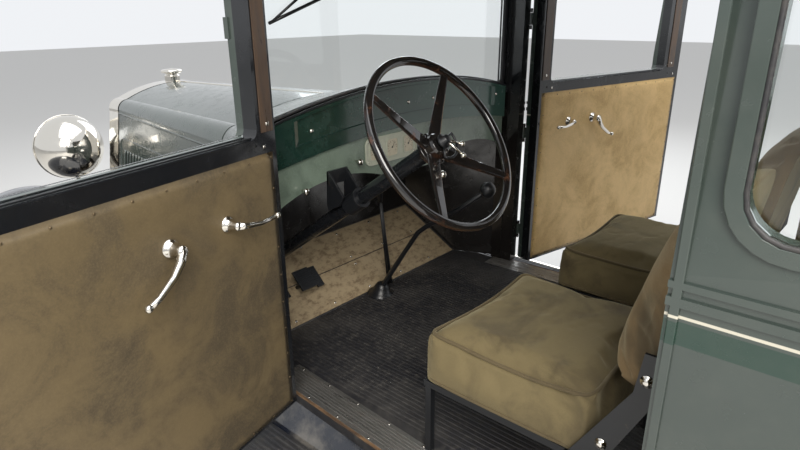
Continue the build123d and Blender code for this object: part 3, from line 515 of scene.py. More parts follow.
def wheel_wood(name, centre, axis):
    """Varnished spokes, black rim and nickel hub cap, told apart by distance from the axle."""
    s = Surface(name, (0.3, 0.2, 0.09, 1), 0.3, coat=(0.3, 0.12))
    places = s.axes()
    squares = []
    for i in (0, 1, 2):
        if i != axis:
            off = s.math("SUBTRACT", places[i], centre[i])
            squares.append(s.times(off, off))
    radius = s.math("SQRT", s.math("ADD", *squares))
    grain = s.noise(38, 8, 0.7, distort=1.4)
    wood = s.mix(s.fade(grain, 0.35, 0.65), (0.34, 0.20, 0.075, 1), (0.14, 0.075, 0.03, 1))
    hub = s.fade(radius, 0.0885, 0.0895, 1.0, 0.0)
    cap = s.fade(radius, 0.0462, 0.0468, 1.0, 0.0)
    tone = s.mix(s.fade(radius, 0.2485, 0.2495), s.mix(hub, wood, BLUE_BLACK), BLUE_BLACK)
    s.color(dusty(s, s.mix(cap, tone, (0.70, 0.67, 0.60, 1)), 0.35, 0.9))
    s.set("Metallic", cap)
    s.rough(s.fade(grain, 0.3, 0.7), 0.18, 0.42)
    s.bump(grain, 0.0003, 0.3)
    return s.material


def tyre_rubber():
    """Black rubber, grey with road dust."""
    s = Surface("tyre_rubber", BLACK, 0.7)
    dust = s.patch(16, 8, 0.7, 0.4, 0.7)
    s.color(s.mix(s.times(dust, 0.45), (0.018, 0.018, 0.019, 1), (0.14, 0.125, 0.105, 1)))
    s.rough(dust, 0.6, 0.9)
    s.bump(s.noise(260, 5, 0.7), 0.0006, 0.5)
    return s.material


def plain_finish(name, color, roughness, metallic=0.0, fleck=0.25):
    """Small trim with slight soiling."""
    s = Surface(name, color, roughness, metallic)
    soil = s.patch(70, 6, 0.7, 0.4, 0.75)
    s.color(s.mix(s.times(soil, fleck), color, (0.03, 0.025, 0.02, 1)))
    s.rough(soil, roughness * 0.8, min(1.0, roughness * 1.4))
    return s.material


MATERIALS = {
    "body": paint_body(),
    # The cowl's inner faces are near black: black where the dash meets the screen, and painted shade on the
    # kick panels under the dash.
    "cowl": paint_body("cowl_enamel_black_and_shade_inside", (0.016, 0.014, 0.013, 1)),
    "screen": paint_screen_frame(),
    "hood": paint_hood(),
    "door_left": paint_door("left"),
    "door_right": paint_door("right"),
    "black": black_enamel(),
    "satin": black_satin(),
    "column": column_black(),
    "roof": roof_cloth(),
    "glass": clear_glass(),
    "lens": lens_glass(),
    "nickel": nickel(),
    "chassis": iron("chassis_black", (0.016, 0.015, 0.014, 1), 0.3),
    "iron": iron("cast_iron_grey", (0.09, 0.09, 0.088, 1), 0.3),
    "engine": iron("engine_green", (0.05, 0.075, 0.06, 1), 0.2),
    "exhaust": iron("rusty_iron", (0.12, 0.08, 0.055, 1), 0.9),
    "fins": radiator_fins(),
    "rubber": floor_rubber(),
    "toe": toe_paint(),
    "dash": dash_green(),
    "apron": dash_sage(),
    "plate": plain_finish("plate_cream", (0.46, 0.48, 0.39, 1), 0.35, fleck=0.12),
    "mohair": mohair(),
    "rest": mohair("mohair_rest", (0.225, 0.150, 0.070, 1)),
    "piping": mohair("mohair_piping", (0.120, 0.090, 0.045, 1)),
    "trim": trim_board(),
    # The passenger's door board is a lighter gold: painted sunlight.
    "trim_sunlit_right": trim_board("trim_board_painted_sunlight", SUNLIT_GOLD, (0.44, 0.29, 0.12, 1)),
    "strip": grained("brown_strip", (30, 8, 0.7, (1, 1, 0.12), 1.2), (0.35, 0.65),
                     (BROWN, (0.085, 0.050, 0.028, 1)), (0.0004, 0.5), gloss=(0.25, 0.5), coat=(0.25, 0.2)),
    "edge": grained("rough_edge", (60, 8, 0.75, (1, 0.15, 1), 0.8), (0.35, 0.65),
                    ((0.20, 0.115, 0.055, 1), (0.045, 0.028, 0.018, 1)), (0.0014, 0.8)),
    "aluminium": grained("worn_aluminium", (70, 8, 0.75, (1, 0.12, 1)), (0.4, 0.7),
                         ((0.50, 0.49, 0.47, 1), (0.20, 0.18, 0.16, 1)), (0.0006, 0.6),
                         gloss=(0.25, 0.6), metallic=0.9),
    "steering": wheel_rim_black(),
    "wheel_front": wheel_wood("wheel_wood_front", (0, FRONT_AXLE_Y, AXLE_Z), 0),
    "wheel_rear": wheel_wood("wheel_wood_rear", (0, REAR_AXLE_Y, AXLE_Z), 0),
    "wheel_spare": wheel_wood("wheel_wood_spare", SPARE_AT, 1),
    "tyre": tyre_rubber(),
    "nail": plain_finish("nail_head", (0.20, 0.15, 0.09, 1), 0.35, 0.8),
    "dial": plain_finish("dial_face", (0.55, 0.50, 0.38, 1), 0.4),
    # Black for the dial print, also used as painted shade in the hood's louvres.
    "print_and_shade": plain_finish("dial_print_and_louvre_shade", (0.012, 0.012, 0.012, 1), 0.4),
    "red": plain_finish("red_lens", (0.30, 0.008, 0.006, 1), 0.12, fleck=0.1),
}

# Slot name that goes with each finish, unless a piece names its own
SLOTS = {
    "trim": "mohair", "trim_sunlit_right": "mohair", "piping": "mohair", "nail": "nickel", "nickel": "nickel",
    "aluminium": "nickel", "strip": "black_satin", "satin": "black_satin", "print_and_shade": "black_satin",
    "steering": "black_satin", "edge": "wheel_wood", "toe": "wheel_wood", "rubber": "floor_mat",
    "dash": "dash_paint", "apron": "dash_paint", "plate": "dash_paint", "dial": "dash_paint",
    "tyre": "tyre", "fins": "radiator_brass", "glass": "glass", "body": "body_paint",
    "hood": "body_paint", "black": "black_enamel", "red": "black_enamel",
}

NODE_FINISH = {
    "body": "rear_panel quarter_panels",
    "cowl": "cowl",
    "screen": "windscreen_frame",
    "hood": "hood_top_left hood_top_right hood_side_left hood_side_right",
    "door_left": "door_left",
    "door_right": "door_right",
    "roof": "roof",
    "glass": "fixed_glass door_glass_left door_glass_right",
    "lens": "headlamp_lenses",
    "nickel": "radiator_shell hood_hinge headlamps lamp_bar bumpers",
    "black": "front_fenders rear_fenders running_boards hood_ledges spare_carrier",
    "chassis": "frame front_axle rear_axle fuel_tank knuckle_left knuckle_right tie_rod leaf_springs",
    "iron": "driveline",
    "engine": "engine",
    "exhaust": "exhaust",
    "fins": "radiator_core",
    "rubber": "floor",
    "dash": "dash",
    "mohair": "front_cushions front_backrests rear_cushion rear_backrest",
    "satin": "floor_controls seat_frames",
    "column": "steering_column",
    "steering": "steering_wheel",
    "wheel_front": "wheel_front_left wheel_front_right",
    "wheel_rear": "wheel_rear_left wheel_rear_right",
    "wheel_spare": "spare_wheel",
    "tyre": "tyre_front_left tyre_front_right tyre_rear_left tyre_rear_right spare_tyre",
}


def finish_nodes():
    """Gives every solid its material."""
    for key, names in NODE_FINISH.items():
        for name in names.split():
            mesh = NODES[name].data
            mesh.materials.clear()
            mesh.materials.append(MATERIALS[key])


finish_nodes()


# Mesh building


def add_piece(name, bm, finish, body="body", slot=None, smooth=False, bevel=0.0):
    """Turns a mesh under construction into a piece that rides on a body."""
    bmesh.ops.recalc_face_normals(bm, faces=bm.faces)
    mesh = bpy.data.meshes.new(name)
    bm.to_mesh(mesh)
    bm.free()
    for face in mesh.polygons:
        face.use_smooth = smooth
    mesh.materials.append(MATERIALS[finish])
    piece = bpy.data.objects.new(name, mesh)
    bpy.context.scene.collection.objects.link(piece)
    if bevel:
        rounding = piece.modifiers.new("edges", "BEVEL")
        rounding.width = bevel
        rounding.segments = 2
        rounding.limit_method = "ANGLE"
    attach(piece, body)
    slot or SLOTS[finish]
    return piece


def join_rings(bm, rings, looped=False):
    """Skin over rings of as many points, closed at both ends or run round to the first ring."""
    rings = [[bm.verts.new(at) for at in ring] for ring in rings]
    pairs = list(zip(rings, rings[1:]))
    if looped:
        pairs.append((rings[-1], rings[0]))
    for low, high in pairs:
        shift, count = 0, len(low)
        if looped and high is rings[0]:
            gaps = [(low[0].co - v.co).length for v in high]
            shift = gaps.index(min(gaps))
        for k in range(count):
            j = (k + 1) % count
            bm.faces.new((low[k], low[j], high[(j + shift) % count], high[(k + shift) % count]))
    if not looped:
        bm.faces.new(rings[0][::-1])
        bm.faces.new(rings[-1])


def circle(at, u, v, radius, sides):
    """Points evenly round a centre, in the plane of two directions."""
    turns = (2 * math.pi * k / sides for k in range(sides))
    return [at + (u * math.cos(t) + v * math.sin(t)) * radius for t in turns]


def across(normal):
    """Two directions square to a third."""
    first = normal.orthogonal().normalized()
    return first, normal.cross(first).normalized()


def add_box(bm, low, high, place=Vector):
    """Box between two corners, put through a function that places each corner."""
    foot = ((low[0], low[1]), (high[0], low[1]), (high[0], high[1]), (low[0], high[1]))
    join_rings(bm, [[place(Vector((x, y, z))) for x, y in foot] for z in (low[2], high[2])])


def add_turned(bm, profile, at, axis, sides=24):
    """Solid of revolution from (radius, height) points."""
    axis = Vector(axis).normalized()
    u, v = across(axis)
    join_rings(bm, [circle(Vector(at) + axis * height, u, v, radius, sides) for radius, height in profile])


def add_dome(bm, centre, normal, radius, height, sides=14):
    """Domed head on a face: rings that shrink to a top point."""
    turns = [share * math.pi / 2 for share in (0.0, 0.35, 0.65, 0.88)]
    rings = [(radius * math.cos(t), height * math.sin(t)) for t in turns]
    normal = Vector(normal).normalized()
    u, v = across(normal)
    shown = [[bm.verts.new(at) for at in circle(Vector(centre) + normal * lift, u, v, reach, sides)]
             for reach, lift in rings]
    top = bm.verts.new(Vector(centre) + normal * height)
    bm.faces.new(shown[0][::-1])
    for i in range(sides):
        j = (i + 1) % sides
        for low, high in zip(shown, shown[1:]):
            bm.faces.new((low[i], low[j], high[j], high[i]))
        bm.faces.new((shown[-1][i], shown[-1][j], top))


def add_ball(bm, at, radius):
    bmesh.ops.create_uvsphere(bm, u_segments=20, v_segments=12, radius=radius, matrix=Matrix.Translation(at))


def add_tube(bm, points, radius, sides=10, closed=False):
    """Round tube through points, with flat ends unless it is closed."""
    points = [Vector(p) for p in points]
    count = len(points)
    radii = radius if isinstance(radius, (list, tuple)) else [radius] * count
    normal = None
    rings = []
    for i, at in enumerate(points):
        before = points[i - 1] if closed or i else at
        after = points[(i + 1) % count] if closed or i < count - 1 else at
        along = (after - before).normalized()
        if normal is None:
            normal = along.orthogonal().normalized()
        normal = (normal - along * normal.dot(along)).normalized()
        rings.append(circle(at, normal, along.cross(normal), radii[i], sides))
    join_rings(bm, rings, closed)


def add_ribs(bm, x, y, base_z, thick, pitch, rise):
    """Mat whose ribs run along Y: a closed toothed section drawn out between two distances."""
    count = int((x[1] - x[0]) / pitch)
    pitch = (x[1] - x[0]) / count
    base, crest = base_z + thick, base_z + thick + rise
    section = [(x[0], base_z)]
    for i in range(count):
        for share, z in ((0, base), (0.42, base), (0.52, crest), (0.90, crest)):
            section.append((x[0] + (i + share) * pitch, z))
    section += [(x[1], base), (x[1], base_z)]
    join_rings(bm, [[(px, end, pz) for px, pz in section] for end in y])


def add_prism(bm, outline, depth):
    """Closed outline carried along a vector."""
    join_rings(bm, (outline, [Vector(p) + Vector(depth) for p in outline]))


def add_frame_ring(bm, inner, outer, depth):
    """Frame between two loops of as many points, carried along a vector."""
    depth = Vector(depth)
    pairs = [(Vector(a), Vector(b)) for a, b in zip(inner, outer)]
    join_rings(bm, [(a, a + depth, b + depth, b) for a, b in pairs], looped=True)


def rounded_loop(a, b, corner, count, place):
    """Evenly spaced points round a rectangle with rounded corners."""
    middles = ((a[1] - corner, b[1] - corner), (a[0] + corner, b[1] - corner),
               (a[0] + corner, b[0] + corner), (a[1] - corner, b[0] + corner))
    outline = []
    for i, (ca, cb) in enumerate(middles):
        for k in range(9):
            turn = math.pi / 2 * (i + k / 8)
            outline.append(Vector((ca + corner * math.cos(turn), cb + corner * math.sin(turn))))
    outline.append(outline[0])
    lengths = [(q - p).length for p, q in zip(outline, outline[1:])]
    points = []
    for i in range(count):
        left = sum(lengths) * i / count
        for k, length in enumerate(lengths):
            if left <= length:
                at = outline[k].lerp(outline[k + 1], left / max(length, 1e-9))
                points.append(place(at.x, at.y))
                break
            left -= length
    return points


def circle_through(a, b, c):
    """Centre and radius of the circle through three points."""
    a, b, c = Vector(a), Vector(b), Vector(c)
    d = 2 * (a.x * (b.y - c.y) + b.x * (c.y - a.y) + c.x * (a.y - b.y))
    x = (a.dot(a) * (b.y - c.y) + b.dot(b) * (c.y - a.y) + c.dot(c) * (a.y - b.y)) / d
    y = (a.dot(a) * (c.x - b.x) + b.dot(b) * (a.x - c.x) + c.dot(c) * (b.x - a.x)) / d
    centre = Vector((x, y))
    return centre, (a - centre).length


def spread(half, count=48):
    """Evenly spaced distances from one side of the middle to the other."""
    return [half * (i / count * 2 - 1) for i in range(count + 1)]


def arch_z(x, inset=0.005):
    """Top of the scuttle's arch at a distance from the middle."""
    x = abs(x)
    crown, crown_z, top = 0.548 - 0.7 * inset, 1.246 - 0.7 * inset, 1.308 - inset
    if x > crown:
        return crown_z - (x - crown) * 0.26
    middle = (crown / 2, crown_z + (top - crown_z) * 0.76)
    centre, radius = circle_through((0, top), middle, (crown, crown_z))
    return centre.y + math.sqrt(radius ** 2 - (x - centre.x) ** 2)


def arc_z(x, half, end, middle):
    """Height of a shallow arc with equal ends."""
    centre, radius = circle_through((-half, end), (0, middle), (half, end))
    return centre.y + math.sqrt(radius ** 2 - x ** 2)


def on_hinge(side, at, turn):
    """Place from (along the door, inward, up), with the door turned by an angle from straight back."""
    s, n, z = at
    x = HINGE.x + s * math.sin(turn) - n * math.cos(turn)
    y = HINGE.y + s * math.cos(turn) + n * math.sin(turn)
    return Vector((side * x, y, z))


def on_door(side, at):
    """Place on a standing-open door from (along the door, inward, up)."""
    return on_hinge(side, at, DOOR_OPEN)


def on_sill(side, at):
    """Place on the door sill from (along the closed door, inward, up)."""
    return on_hinge(side, at, BODY_TAPER)


# Doors


def board_mesh(s, z, n, place):
    """Thin covered board, slightly uneven, with a rounded edge."""
    bm = bmesh.new()
    columns, rows = 44, 36
    edge_roll, swell = 0.006, 0.0011
    grid = []
    for j in range(rows + 1):
        line = []
        for i in range(columns + 1):
            u, v = i / columns, j / rows
            edge = min(min(u, 1 - u) * (s[1] - s[0]), min(v, 1 - v) * (z[1] - z[0]))
            roll = min(1.0, edge / edge_roll)
            lift = n[0] + (n[1] - n[0]) * math.sqrt(max(0.0, 1 - (1 - roll) ** 2))
            at = Vector((s[0] + u * (s[1] - s[0]), lift, z[0] + v * (z[1] - z[0])))
            if roll >= 1:
                at.y += swell * noise.noise(Vector((at.x * 9, at.z * 7, s[0] * 31)))
            line.append(bm.verts.new(place(at)))
        grid.append(line)
    for low, high in zip(grid, grid[1:]):
        for i in range(columns):
            bm.faces.new((low[i], low[i + 1], high[i + 1], high[i]))
    bmesh.ops.holes_fill(bm, edges=[e for e in bm.edges if e.is_boundary])
    return bm


def door_trim(name, side):
    """Covered board, its nails, the brown strips and their screws on one door."""
    body = "door_" + name
    normal = on_door(side, (0, 1, 0)) - on_door(side, (0, 0, 0))

    def place(at):
        return on_door(side, at)

    face = DOOR_INNER + 0.0045
    bm = board_mesh(TRIM_S, TRIM_Z, (DOOR_INNER + 0.0001, face), place)
    # The passenger's door takes the board with painted sunlight.
    add_piece("trim_board_" + name, bm, "trim" if side == 1 else "trim_sunlit_right", body, smooth=True)

    nails = bmesh.new()
    inset, pitch = 0.011, 0.072

    def nail_row(span, first):
        """Distances of the nails along one edge."""
        count = int((span[1] - span[0]) / pitch)
        step = (span[1] - span[0] - 2 * inset) / count
        return [span[0] + inset + i * step for i in range(first, count + 1 - first)]

    ends_s, ends_z = ((span[0] + inset, span[1] - inset) for span in (TRIM_S, TRIM_Z))
    spots = [(s, z) for z in ends_z for s in nail_row(TRIM_S, 0)]
    spots += [(s, z) for s in ends_s for z in nail_row(TRIM_Z, 1)]
    for s, z in spots:
        add_dome(nails, place((s, face - 0.0004, z)), normal, 0.0027, 0.0018, 10)
    add_piece("trim_nails_" + name, nails, "nail", body, smooth=True)

    strips = bmesh.new()
    screws = bmesh.new()
    front, rear = WINDOW_S
    top = DOOR_INNER + 0.003
    for s in ((0.014, front - 0.012), (rear + 0.030, rear + 0.078)):
        add_box(strips, (s[0], DOOR_INNER, WINDOW_Z + 0.012), (s[1], top, WINDOW_TOP - 0.010), place)
        for z in (WINDOW_Z + 0.030, WINDOW_TOP - 0.028):
            add_dome(screws, place(((s[0] + s[1]) / 2, top, z)), normal, 0.0055, 0.003)
    for s in (0.06, 0.90):
        add_dome(screws, place((s, 0.075, 1.228)), normal, 0.0045, 0.0022)
    add_piece("stile_strips_" + name, strips, "strip", body, bevel=0.0012)
    add_piece("garnish_screws_" + name, screws, "nickel", body, smooth=True)

    channel = bmesh.new()
    z = WINDOW_Z + 0.0005
    for n in (DOOR_INNER - 0.034, DOOR_INNER - 0.012):
        add_box(channel, (front + 0.004, n, z), (rear - 0.004, n + 0.004, z + 0.004), place)
    add_piece("glass_channel_" + name, channel, "satin", body, "floor_mat", bevel=0.001)


for door_name, door_side in SIDES:
    door_trim(door_name, door_side)


# Cabin floor


def make_sills():
    """Worn ribbed metal plate and bare wood edge on each door sill."""
    start, end = SILL_S
    inner = (0.041, 0.126)
    for name, side in SIDES:
        def place(at):
            return on_sill(side, at)

        plate = bmesh.new()
        add_box(plate, (start, inner[0], FLOOR_TOP), (end, inner[1], FLOOR_TOP + 0.0022), place)
        for i in range(7):
            n = inner[0] + 0.014 + i * 0.0095
            low, high = (start + 0.01, n, FLOOR_TOP + 0.002), (end - 0.01, n + 0.003, FLOOR_TOP + 0.0034)
            add_box(plate, low, high, place)
        add_piece("sill_plate_" + name, plate, "aluminium", bevel=0.0006)

        screws = bmesh.new()
        for i in range(9):
            s = start + 0.03 + i * (end - start - 0.06) / 8
            for n in (inner[0] + 0.006, inner[1] - 0.006):
                add_dome(screws, place((s, n, FLOOR_TOP + 0.002)), (0, 0, 1), 0.004, 0.0018, 10)
        add_piece("sill_screws_" + name, screws, "nickel", smooth=True)

        edge = bmesh.new()
        steps = 60
        rings = []
        for i in range(steps + 1):
            s = start + i * (end - start) / steps
            chip = 0.0016 * noise.noise(Vector((s * 40, side, 3.1)))
            low, high = FLOOR_TOP - 0.0005, FLOOR_TOP + 0.0016 + chip * 0.5
            outer = SILL_N[0] - 0.0006 + chip * 0.3
            corners = ((outer, low), (outer, high - 0.0008), (SILL_N[0] + 0.0012, high),
                       (inner[0], high), (inner[0], low))
            rings.append([place((s, n, z)) for n, z in corners])
        join_rings(edge, rings)
        add_piece("sill_edge_" + name, edge, "edge")


def toe_frame():
    """Foot, slope and face direction of the boards that rise to the firewall, and their length."""
    slope = Vector((0, TOE_Y[1] - TOE_Y[0], TOE_Z[1] - TOE_Z[0]))
    length = slope.length
    slope.normalize()
    return Vector((0, TOE_Y[0], TOE_Z[0])), slope, Vector((0, slope.z, -slope.y)), length


def make_floor_covers():
    """Ribbed rubber mat, and the boards that slope up to the firewall."""
    mat = bmesh.new()
    add_ribs(mat, (-0.500, 0.500), (-0.392, 0.925), FLOOR_TOP + 0.0001, 0.003, 0.0145, 0.0022)
    add_piece("floor_mat_ribs", mat, "rubber", bevel=0.0005)

    foot, slope, face, length = toe_frame()

    def place(x, y, z):
        return foot + Vector((x, 0, 0)) + slope * y + face * z

    boards = bmesh.new()
    near, far = 0.52, 0.425
    for low, high in ((0.006, 0.140), (0.143, length - 0.006)):
        wide = [near - (near - far) * share / length for share in (low, high)]
        corners = [(-wide[0], low), (wide[0], low), (wide[1], high), (-wide[1], high)]
        join_rings(boards, [[place(x, y, z) for x, y in corners] for z in (0.0001, 0.0045)])
    add_piece("toe_boards", boards, "toe", bevel=0.0012)

    screws = bmesh.new()
    for x in (-0.36, -0.18, 0.0, 0.18, 0.36):
        for y in (0.022, 0.125, 0.158, length - 0.022):
            add_dome(screws, place(x, y, 0.0044), face, 0.005, 0.002, 12)
    add_piece("toe_screws", screws, "nickel", smooth=True)


make_sills()
make_floor_covers()


# Dash


def make_dash_panel():
    """Arched panel with a sunk field."""
    reach = 0.482
    levels = (0, 0.002, -0.004)
    back_y = DASH_Y - 0.008
    panel = bmesh.new()
    edges = [-reach - 0.004, -reach - 0.0032, -reach - 0.0006, -reach]
    xs = [x for x in spread(DASH_HALF) if abs(abs(x) - reach) > 0.006] + edges + [-x for x in edges]
    xs.sort()
    front, back = [], []
    for x in xs:
        low, top = arc_z(x, DASH_HALF, 1.120, 1.167), arch_z(x)
        most = 0 if abs(x) > reach + 0.0036 else (2 if abs(x) < reach - 0.0001 else 1)
        rows = ((low, 0), (low + 0.0380, 0), (low + 0.0386, 1), (low + 0.0414, 1), (low + 0.0420, 2),
                (top - 0.0150, 2), (top - 0.0144, 1), (top - 0.0118, 1), (top - 0.0112, 0), (top, 0))
        front.append([panel.verts.new((x, DASH_Y + levels[min(level, most)], z)) for z, level in rows])
        back.append([panel.verts.new((x, back_y, z)) for z in (low, top)])
    for a, b, c, d in zip(front, front[1:], back, back[1:]):
        for i in range(9):
            panel.faces.new((a[i], b[i], b[i + 1], a[i + 1]))
        panel.faces.new((c[0], c[1], d[1], d[0]))
        panel.faces.new((a[0], c[0], d[0], b[0]))
        panel.faces.new((a[-1], b[-1], d[1], c[1]))
    panel.faces.new(front[0] + back[0][::-1])
    panel.faces.new(front[-1] + back[-1][::-1])
    piece = add_piece("dash_panel", panel, "dash")
    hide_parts("dash")


def make_dash_apron():
    """Lower apron with an arch over each seat's leg room."""
    steps = 112
    arch_x, arch_half, foot_z, arch_top = 0.325, 0.215, 1.015, 1.060
    back, front = APRON_Y
    apron = bmesh.new()
    columns = []
    for x in spread(DASH_HALF, steps):
        off = abs(abs(x) - arch_x)
        low = arc_z(off, arch_half, foot_z, arch_top) if off < arch_half else foot_z
        high = arc_z(x, DASH_HALF, 1.132, 1.176)
        columns.append(((x, back, low), (x, front, low), (x, front, high), (x, back, high)))
    join_rings(apron, columns)
    piece = add_piece("dash_apron", apron, "apron")
    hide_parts("dash")


def make_instrument_plate():
    """Plate with a raised edge and a bezel round each dial."""
    plate = bmesh.new()

    def loop(middle, half, z, tall, corner, count, y=PLATE_Y - 0.0002):
        """Rounded rectangle about a middle on the plate's face."""
        spans = ((middle - half, middle + half), (z - tall, z + tall))
        return rounded_loop(*spans, corner, count, lambda a, b: (a, y, b))

    middle, half, tall = 0.0935, 0.1195, 0.0425
    add_prism(plate, loop(middle, half, DIAL_Z, tall, 0.020, 72, APRON_Y[1]), (0, 0.0035, 0))
    outer = loop(middle, half, DIAL_Z, tall, 0.020, 72)
    inner = loop(middle, half - 0.006, DIAL_Z, tall - 0.006, 0.015, 72)
    add_frame_ring(plate, inner, outer, (0, 0.0022, 0))
    for x, wide in DIALS:
        outer = loop(x, wide + 0.004, DIAL_Z, 0.0305, 0.012, 60)
        inner = loop(x, wide, DIAL_Z, 0.0265, 0.009, 60)
        add_frame_ring(plate, inner, outer, (0, 0.0026, 0))
    piece = add_piece("instrument_plate", plate, "plate", bevel=0.0006)
    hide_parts("dash")


def make_dash_bead():
    """Round bead along the panel's top."""
    bead = bmesh.new()
    lift = 0.0005
    add_tube(bead, [(x, DASH_Y + lift, arch_z(x) + lift) for x in spread(DASH_HALF)], 0.0034, 10)
    add_piece("dash_top_bead", bead, "satin", smooth=True)


def make_column_clamp():
    """Bracket under the panel that holds the steering column."""
    clamp = bmesh.new()
    outline = ((-0.206, 1.085), (-0.200, 1.085), (-0.142, 1.020), (-0.160, 0.990), (-0.206, 0.968),
               (-0.212, 0.985))
    for x in (0.295, 0.363):
        add_prism(clamp, [(x, y, z) for y, z in outline], (0.008, 0, 0))
    add_tube(clamp, (on_wheel((0, 0, -0.405)), on_wheel((0, 0, -0.345))), 0.030, 24)
    add_box(clamp, (0.295, -0.206, 1.045), (0.371, -0.199, 1.085))
    piece = add_piece("column_clamp", clamp, "satin", slot="dash_paint", bevel=0.001)
    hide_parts("dash")


def make_dash_trim():
    """Domed screws, small knobs, and dial faces with marks and hands."""
    out = (0, 1, 0)
    screws = bmesh.new()
    # x and z of each screw head on the panel
    for x, z in ((0.420, 1.209), (0.215, 1.236), (0.015, 1.240), (-0.110, 1.240), (-0.490, 1.213)):
        depth = DASH_Y - 0.004 if abs(x) < 0.48 else DASH_Y
        add_dome(screws, (x, depth, z), out, 0.0062, 0.0045, 16)
    for x in (-0.0145, 0.2015):
        for z in (1.078, 1.139):
            add_dome(screws, (x, PLATE_Y, z), out, 0.0035, 0.002, 12)
    add_piece("dash_screws", screws, "nickel", smooth=True)

    faces = bmesh.new()
    marks = bmesh.new()
    face_y = PLATE_Y + 0.0007
    for x, radius in DIALS:
        wide, tall = radius - 0.0004, 0.026
        add_box(faces, (x - wide, PLATE_Y, DIAL_Z - tall), (x + wide, face_y, DIAL_Z + tall))

        def add_mark(degrees, low, high):
            """Box on the dial, turned about the dial's middle."""
            turn = math.radians(degrees)
            u = Vector((-math.sin(turn), 0, math.cos(turn)))
            w = Vector((math.cos(turn), 0, math.sin(turn)))
            add_box(marks, low, high, lambda at: Vector((x, face_y + at.y, DIAL_Z)) + w * at.x + u * at.z)

        far = radius * 0.90
        for i in range(11):
            add_mark(24 * i - 120, (-0.0006, 0, far - (0.0030 if i % 2 else 0.0055)), (0.0006, 0.0004, far))
        add_mark(35, (-0.0008, 0.0006, -0.004), (0.0008, 0.0010, 0.018))
        add_dome(marks, (x, face_y, DIAL_Z), out, 0.0034, 0.0014, 12)
    add_piece("dial_faces", faces, "dial")
    add_piece("dial_marks", marks, "print_and_shade")

    knobs = bmesh.new()
    profile = ((0.004, 0), (0.004, 0.012), (0.009, 0.014), (0.010, 0.019), (0.0075, 0.024), (0.002, 0.0255))
    for x, z in ((-0.085, 1.062), (-0.045, 1.062), (0.252, 1.092), (0.462, 1.050)):
        add_turned(knobs, profile, (x, APRON_Y[1], z), out, 20)
    add_piece("dash_knobs", knobs, "nickel", smooth=True)


# Steering wheel and controls


def wheel_axis():
    return Vector((0, math.cos(STEER_TILT), math.sin(STEER_TILT)))


def on_wheel(at):
    """Place in the steering wheel's own frame, Z up along the column."""
    down = Vector((0, math.sin(STEER_TILT), -math.cos(STEER_TILT)))
    return STEER_AT + Vector((at[0], 0, 0)) + down * at[1] + wheel_axis() * at[2]


def round_wheel(radius, turn, height):
    """Place on the wheel from a radius, an angle and a height."""
    return on_wheel((radius * math.cos(turn), radius * math.sin(turn), height))


def make_steering_wheel():
    """Round rim, four flat tapering spokes and a stepped hub, with hand levers above it."""
    rim = bmesh.new()
    rim_r, tube_r, steps = 0.220, 0.011, 120
    path = [round_wheel(rim_r, 2 * math.pi * i / steps, 0) for i in range(steps)]
    add_tube(rim, path, tube_r, 18, closed=True)
    wheel = add_piece("steering_rim", rim, "steering", "steering_wheel", smooth=True)
    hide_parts("steering_wheel")

    spokes = bmesh.new()
    # distance from the hub's middle, half width, height and half thickness
    stations = ((0.022, 0.0195, -0.036, 0.0055), (0.050, 0.0185, -0.033, 0.0052),
                (0.120, 0.0150, -0.020, 0.0046), (0.196, 0.0118, -0.004, 0.0044),
                (0.213, 0.0118, -0.001, 0.0040))
    section = ((-1, -0.35), (-0.72, -1), (0.72, -1), (1, -0.35), (1, 0.35), (0.72, 1), (-0.72, 1), (-1, 0.35))
    for degrees in (-127.1, -41.6, 54.6, 142.1):
        turn = math.radians(degrees)
        x, y = math.cos(turn), math.sin(turn)
        join_rings(spokes, [[on_wheel((x * r - y * wide * share, y * r + x * wide * share, up + thick * lift))
                             for share, lift in section] for r, wide, up, thick in stations])
    profile = ((0.040, -0.052), (0.042, -0.048), (0.042, -0.040), (0.032, -0.036), (0.031, -0.016),
               (0.027, -0.009), (0.013, -0.008))
    add_turned(spokes, profile, STEER_AT, wheel_axis(), 40)
    hub = add_piece("steering_spokes", spokes, "steering", "steering_wheel", bevel=0.0008)
    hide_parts("steering_wheel")

    post = bmesh.new()
    arc_r = 0.044
    add_turned(post, ((0.006, -0.060), (0.006, 0.006)), STEER_AT, wheel_axis(), 16)
    profile = ((0.018, -0.002), (0.018, 0.003), (0.011, 0.006), (0.011, 0.016), (0.004, 0.018))
    add_turned(post, profile, STEER_AT, wheel_axis(), 28)
    add_tube(post, [round_wheel(arc_r, math.radians(60 + 14 * i), 0.001) for i in range(11)], 0.0032, 10)
    for turn in (math.radians(60), math.radians(200)):
        add_tube(post, [round_wheel(r, turn, 0.001) for r in (0.010, arc_r)], 0.003, 10)
    add_piece("lever_quadrant", post, "satin", smooth=True)

    levers = bmesh.new()
    for degrees, reach in ((117, 0.057), (152, 0.048)):
        far = round_wheel(reach, math.radians(degrees), 0.015)
        add_tube(levers, [on_wheel((0, 0, 0.009)), far], [0.0042, 0.0028], 12)
        add_ball(levers, far, 0.0072)
    low = on_wheel((-0.020, 0.064, -0.064))
    add_ball(levers, low, 0.010)
    add_tube(levers, [on_wheel((0, 0.004, -0.066)), low], 0.004, 10)
    add_piece("hand_levers", levers, "nickel", smooth=True)


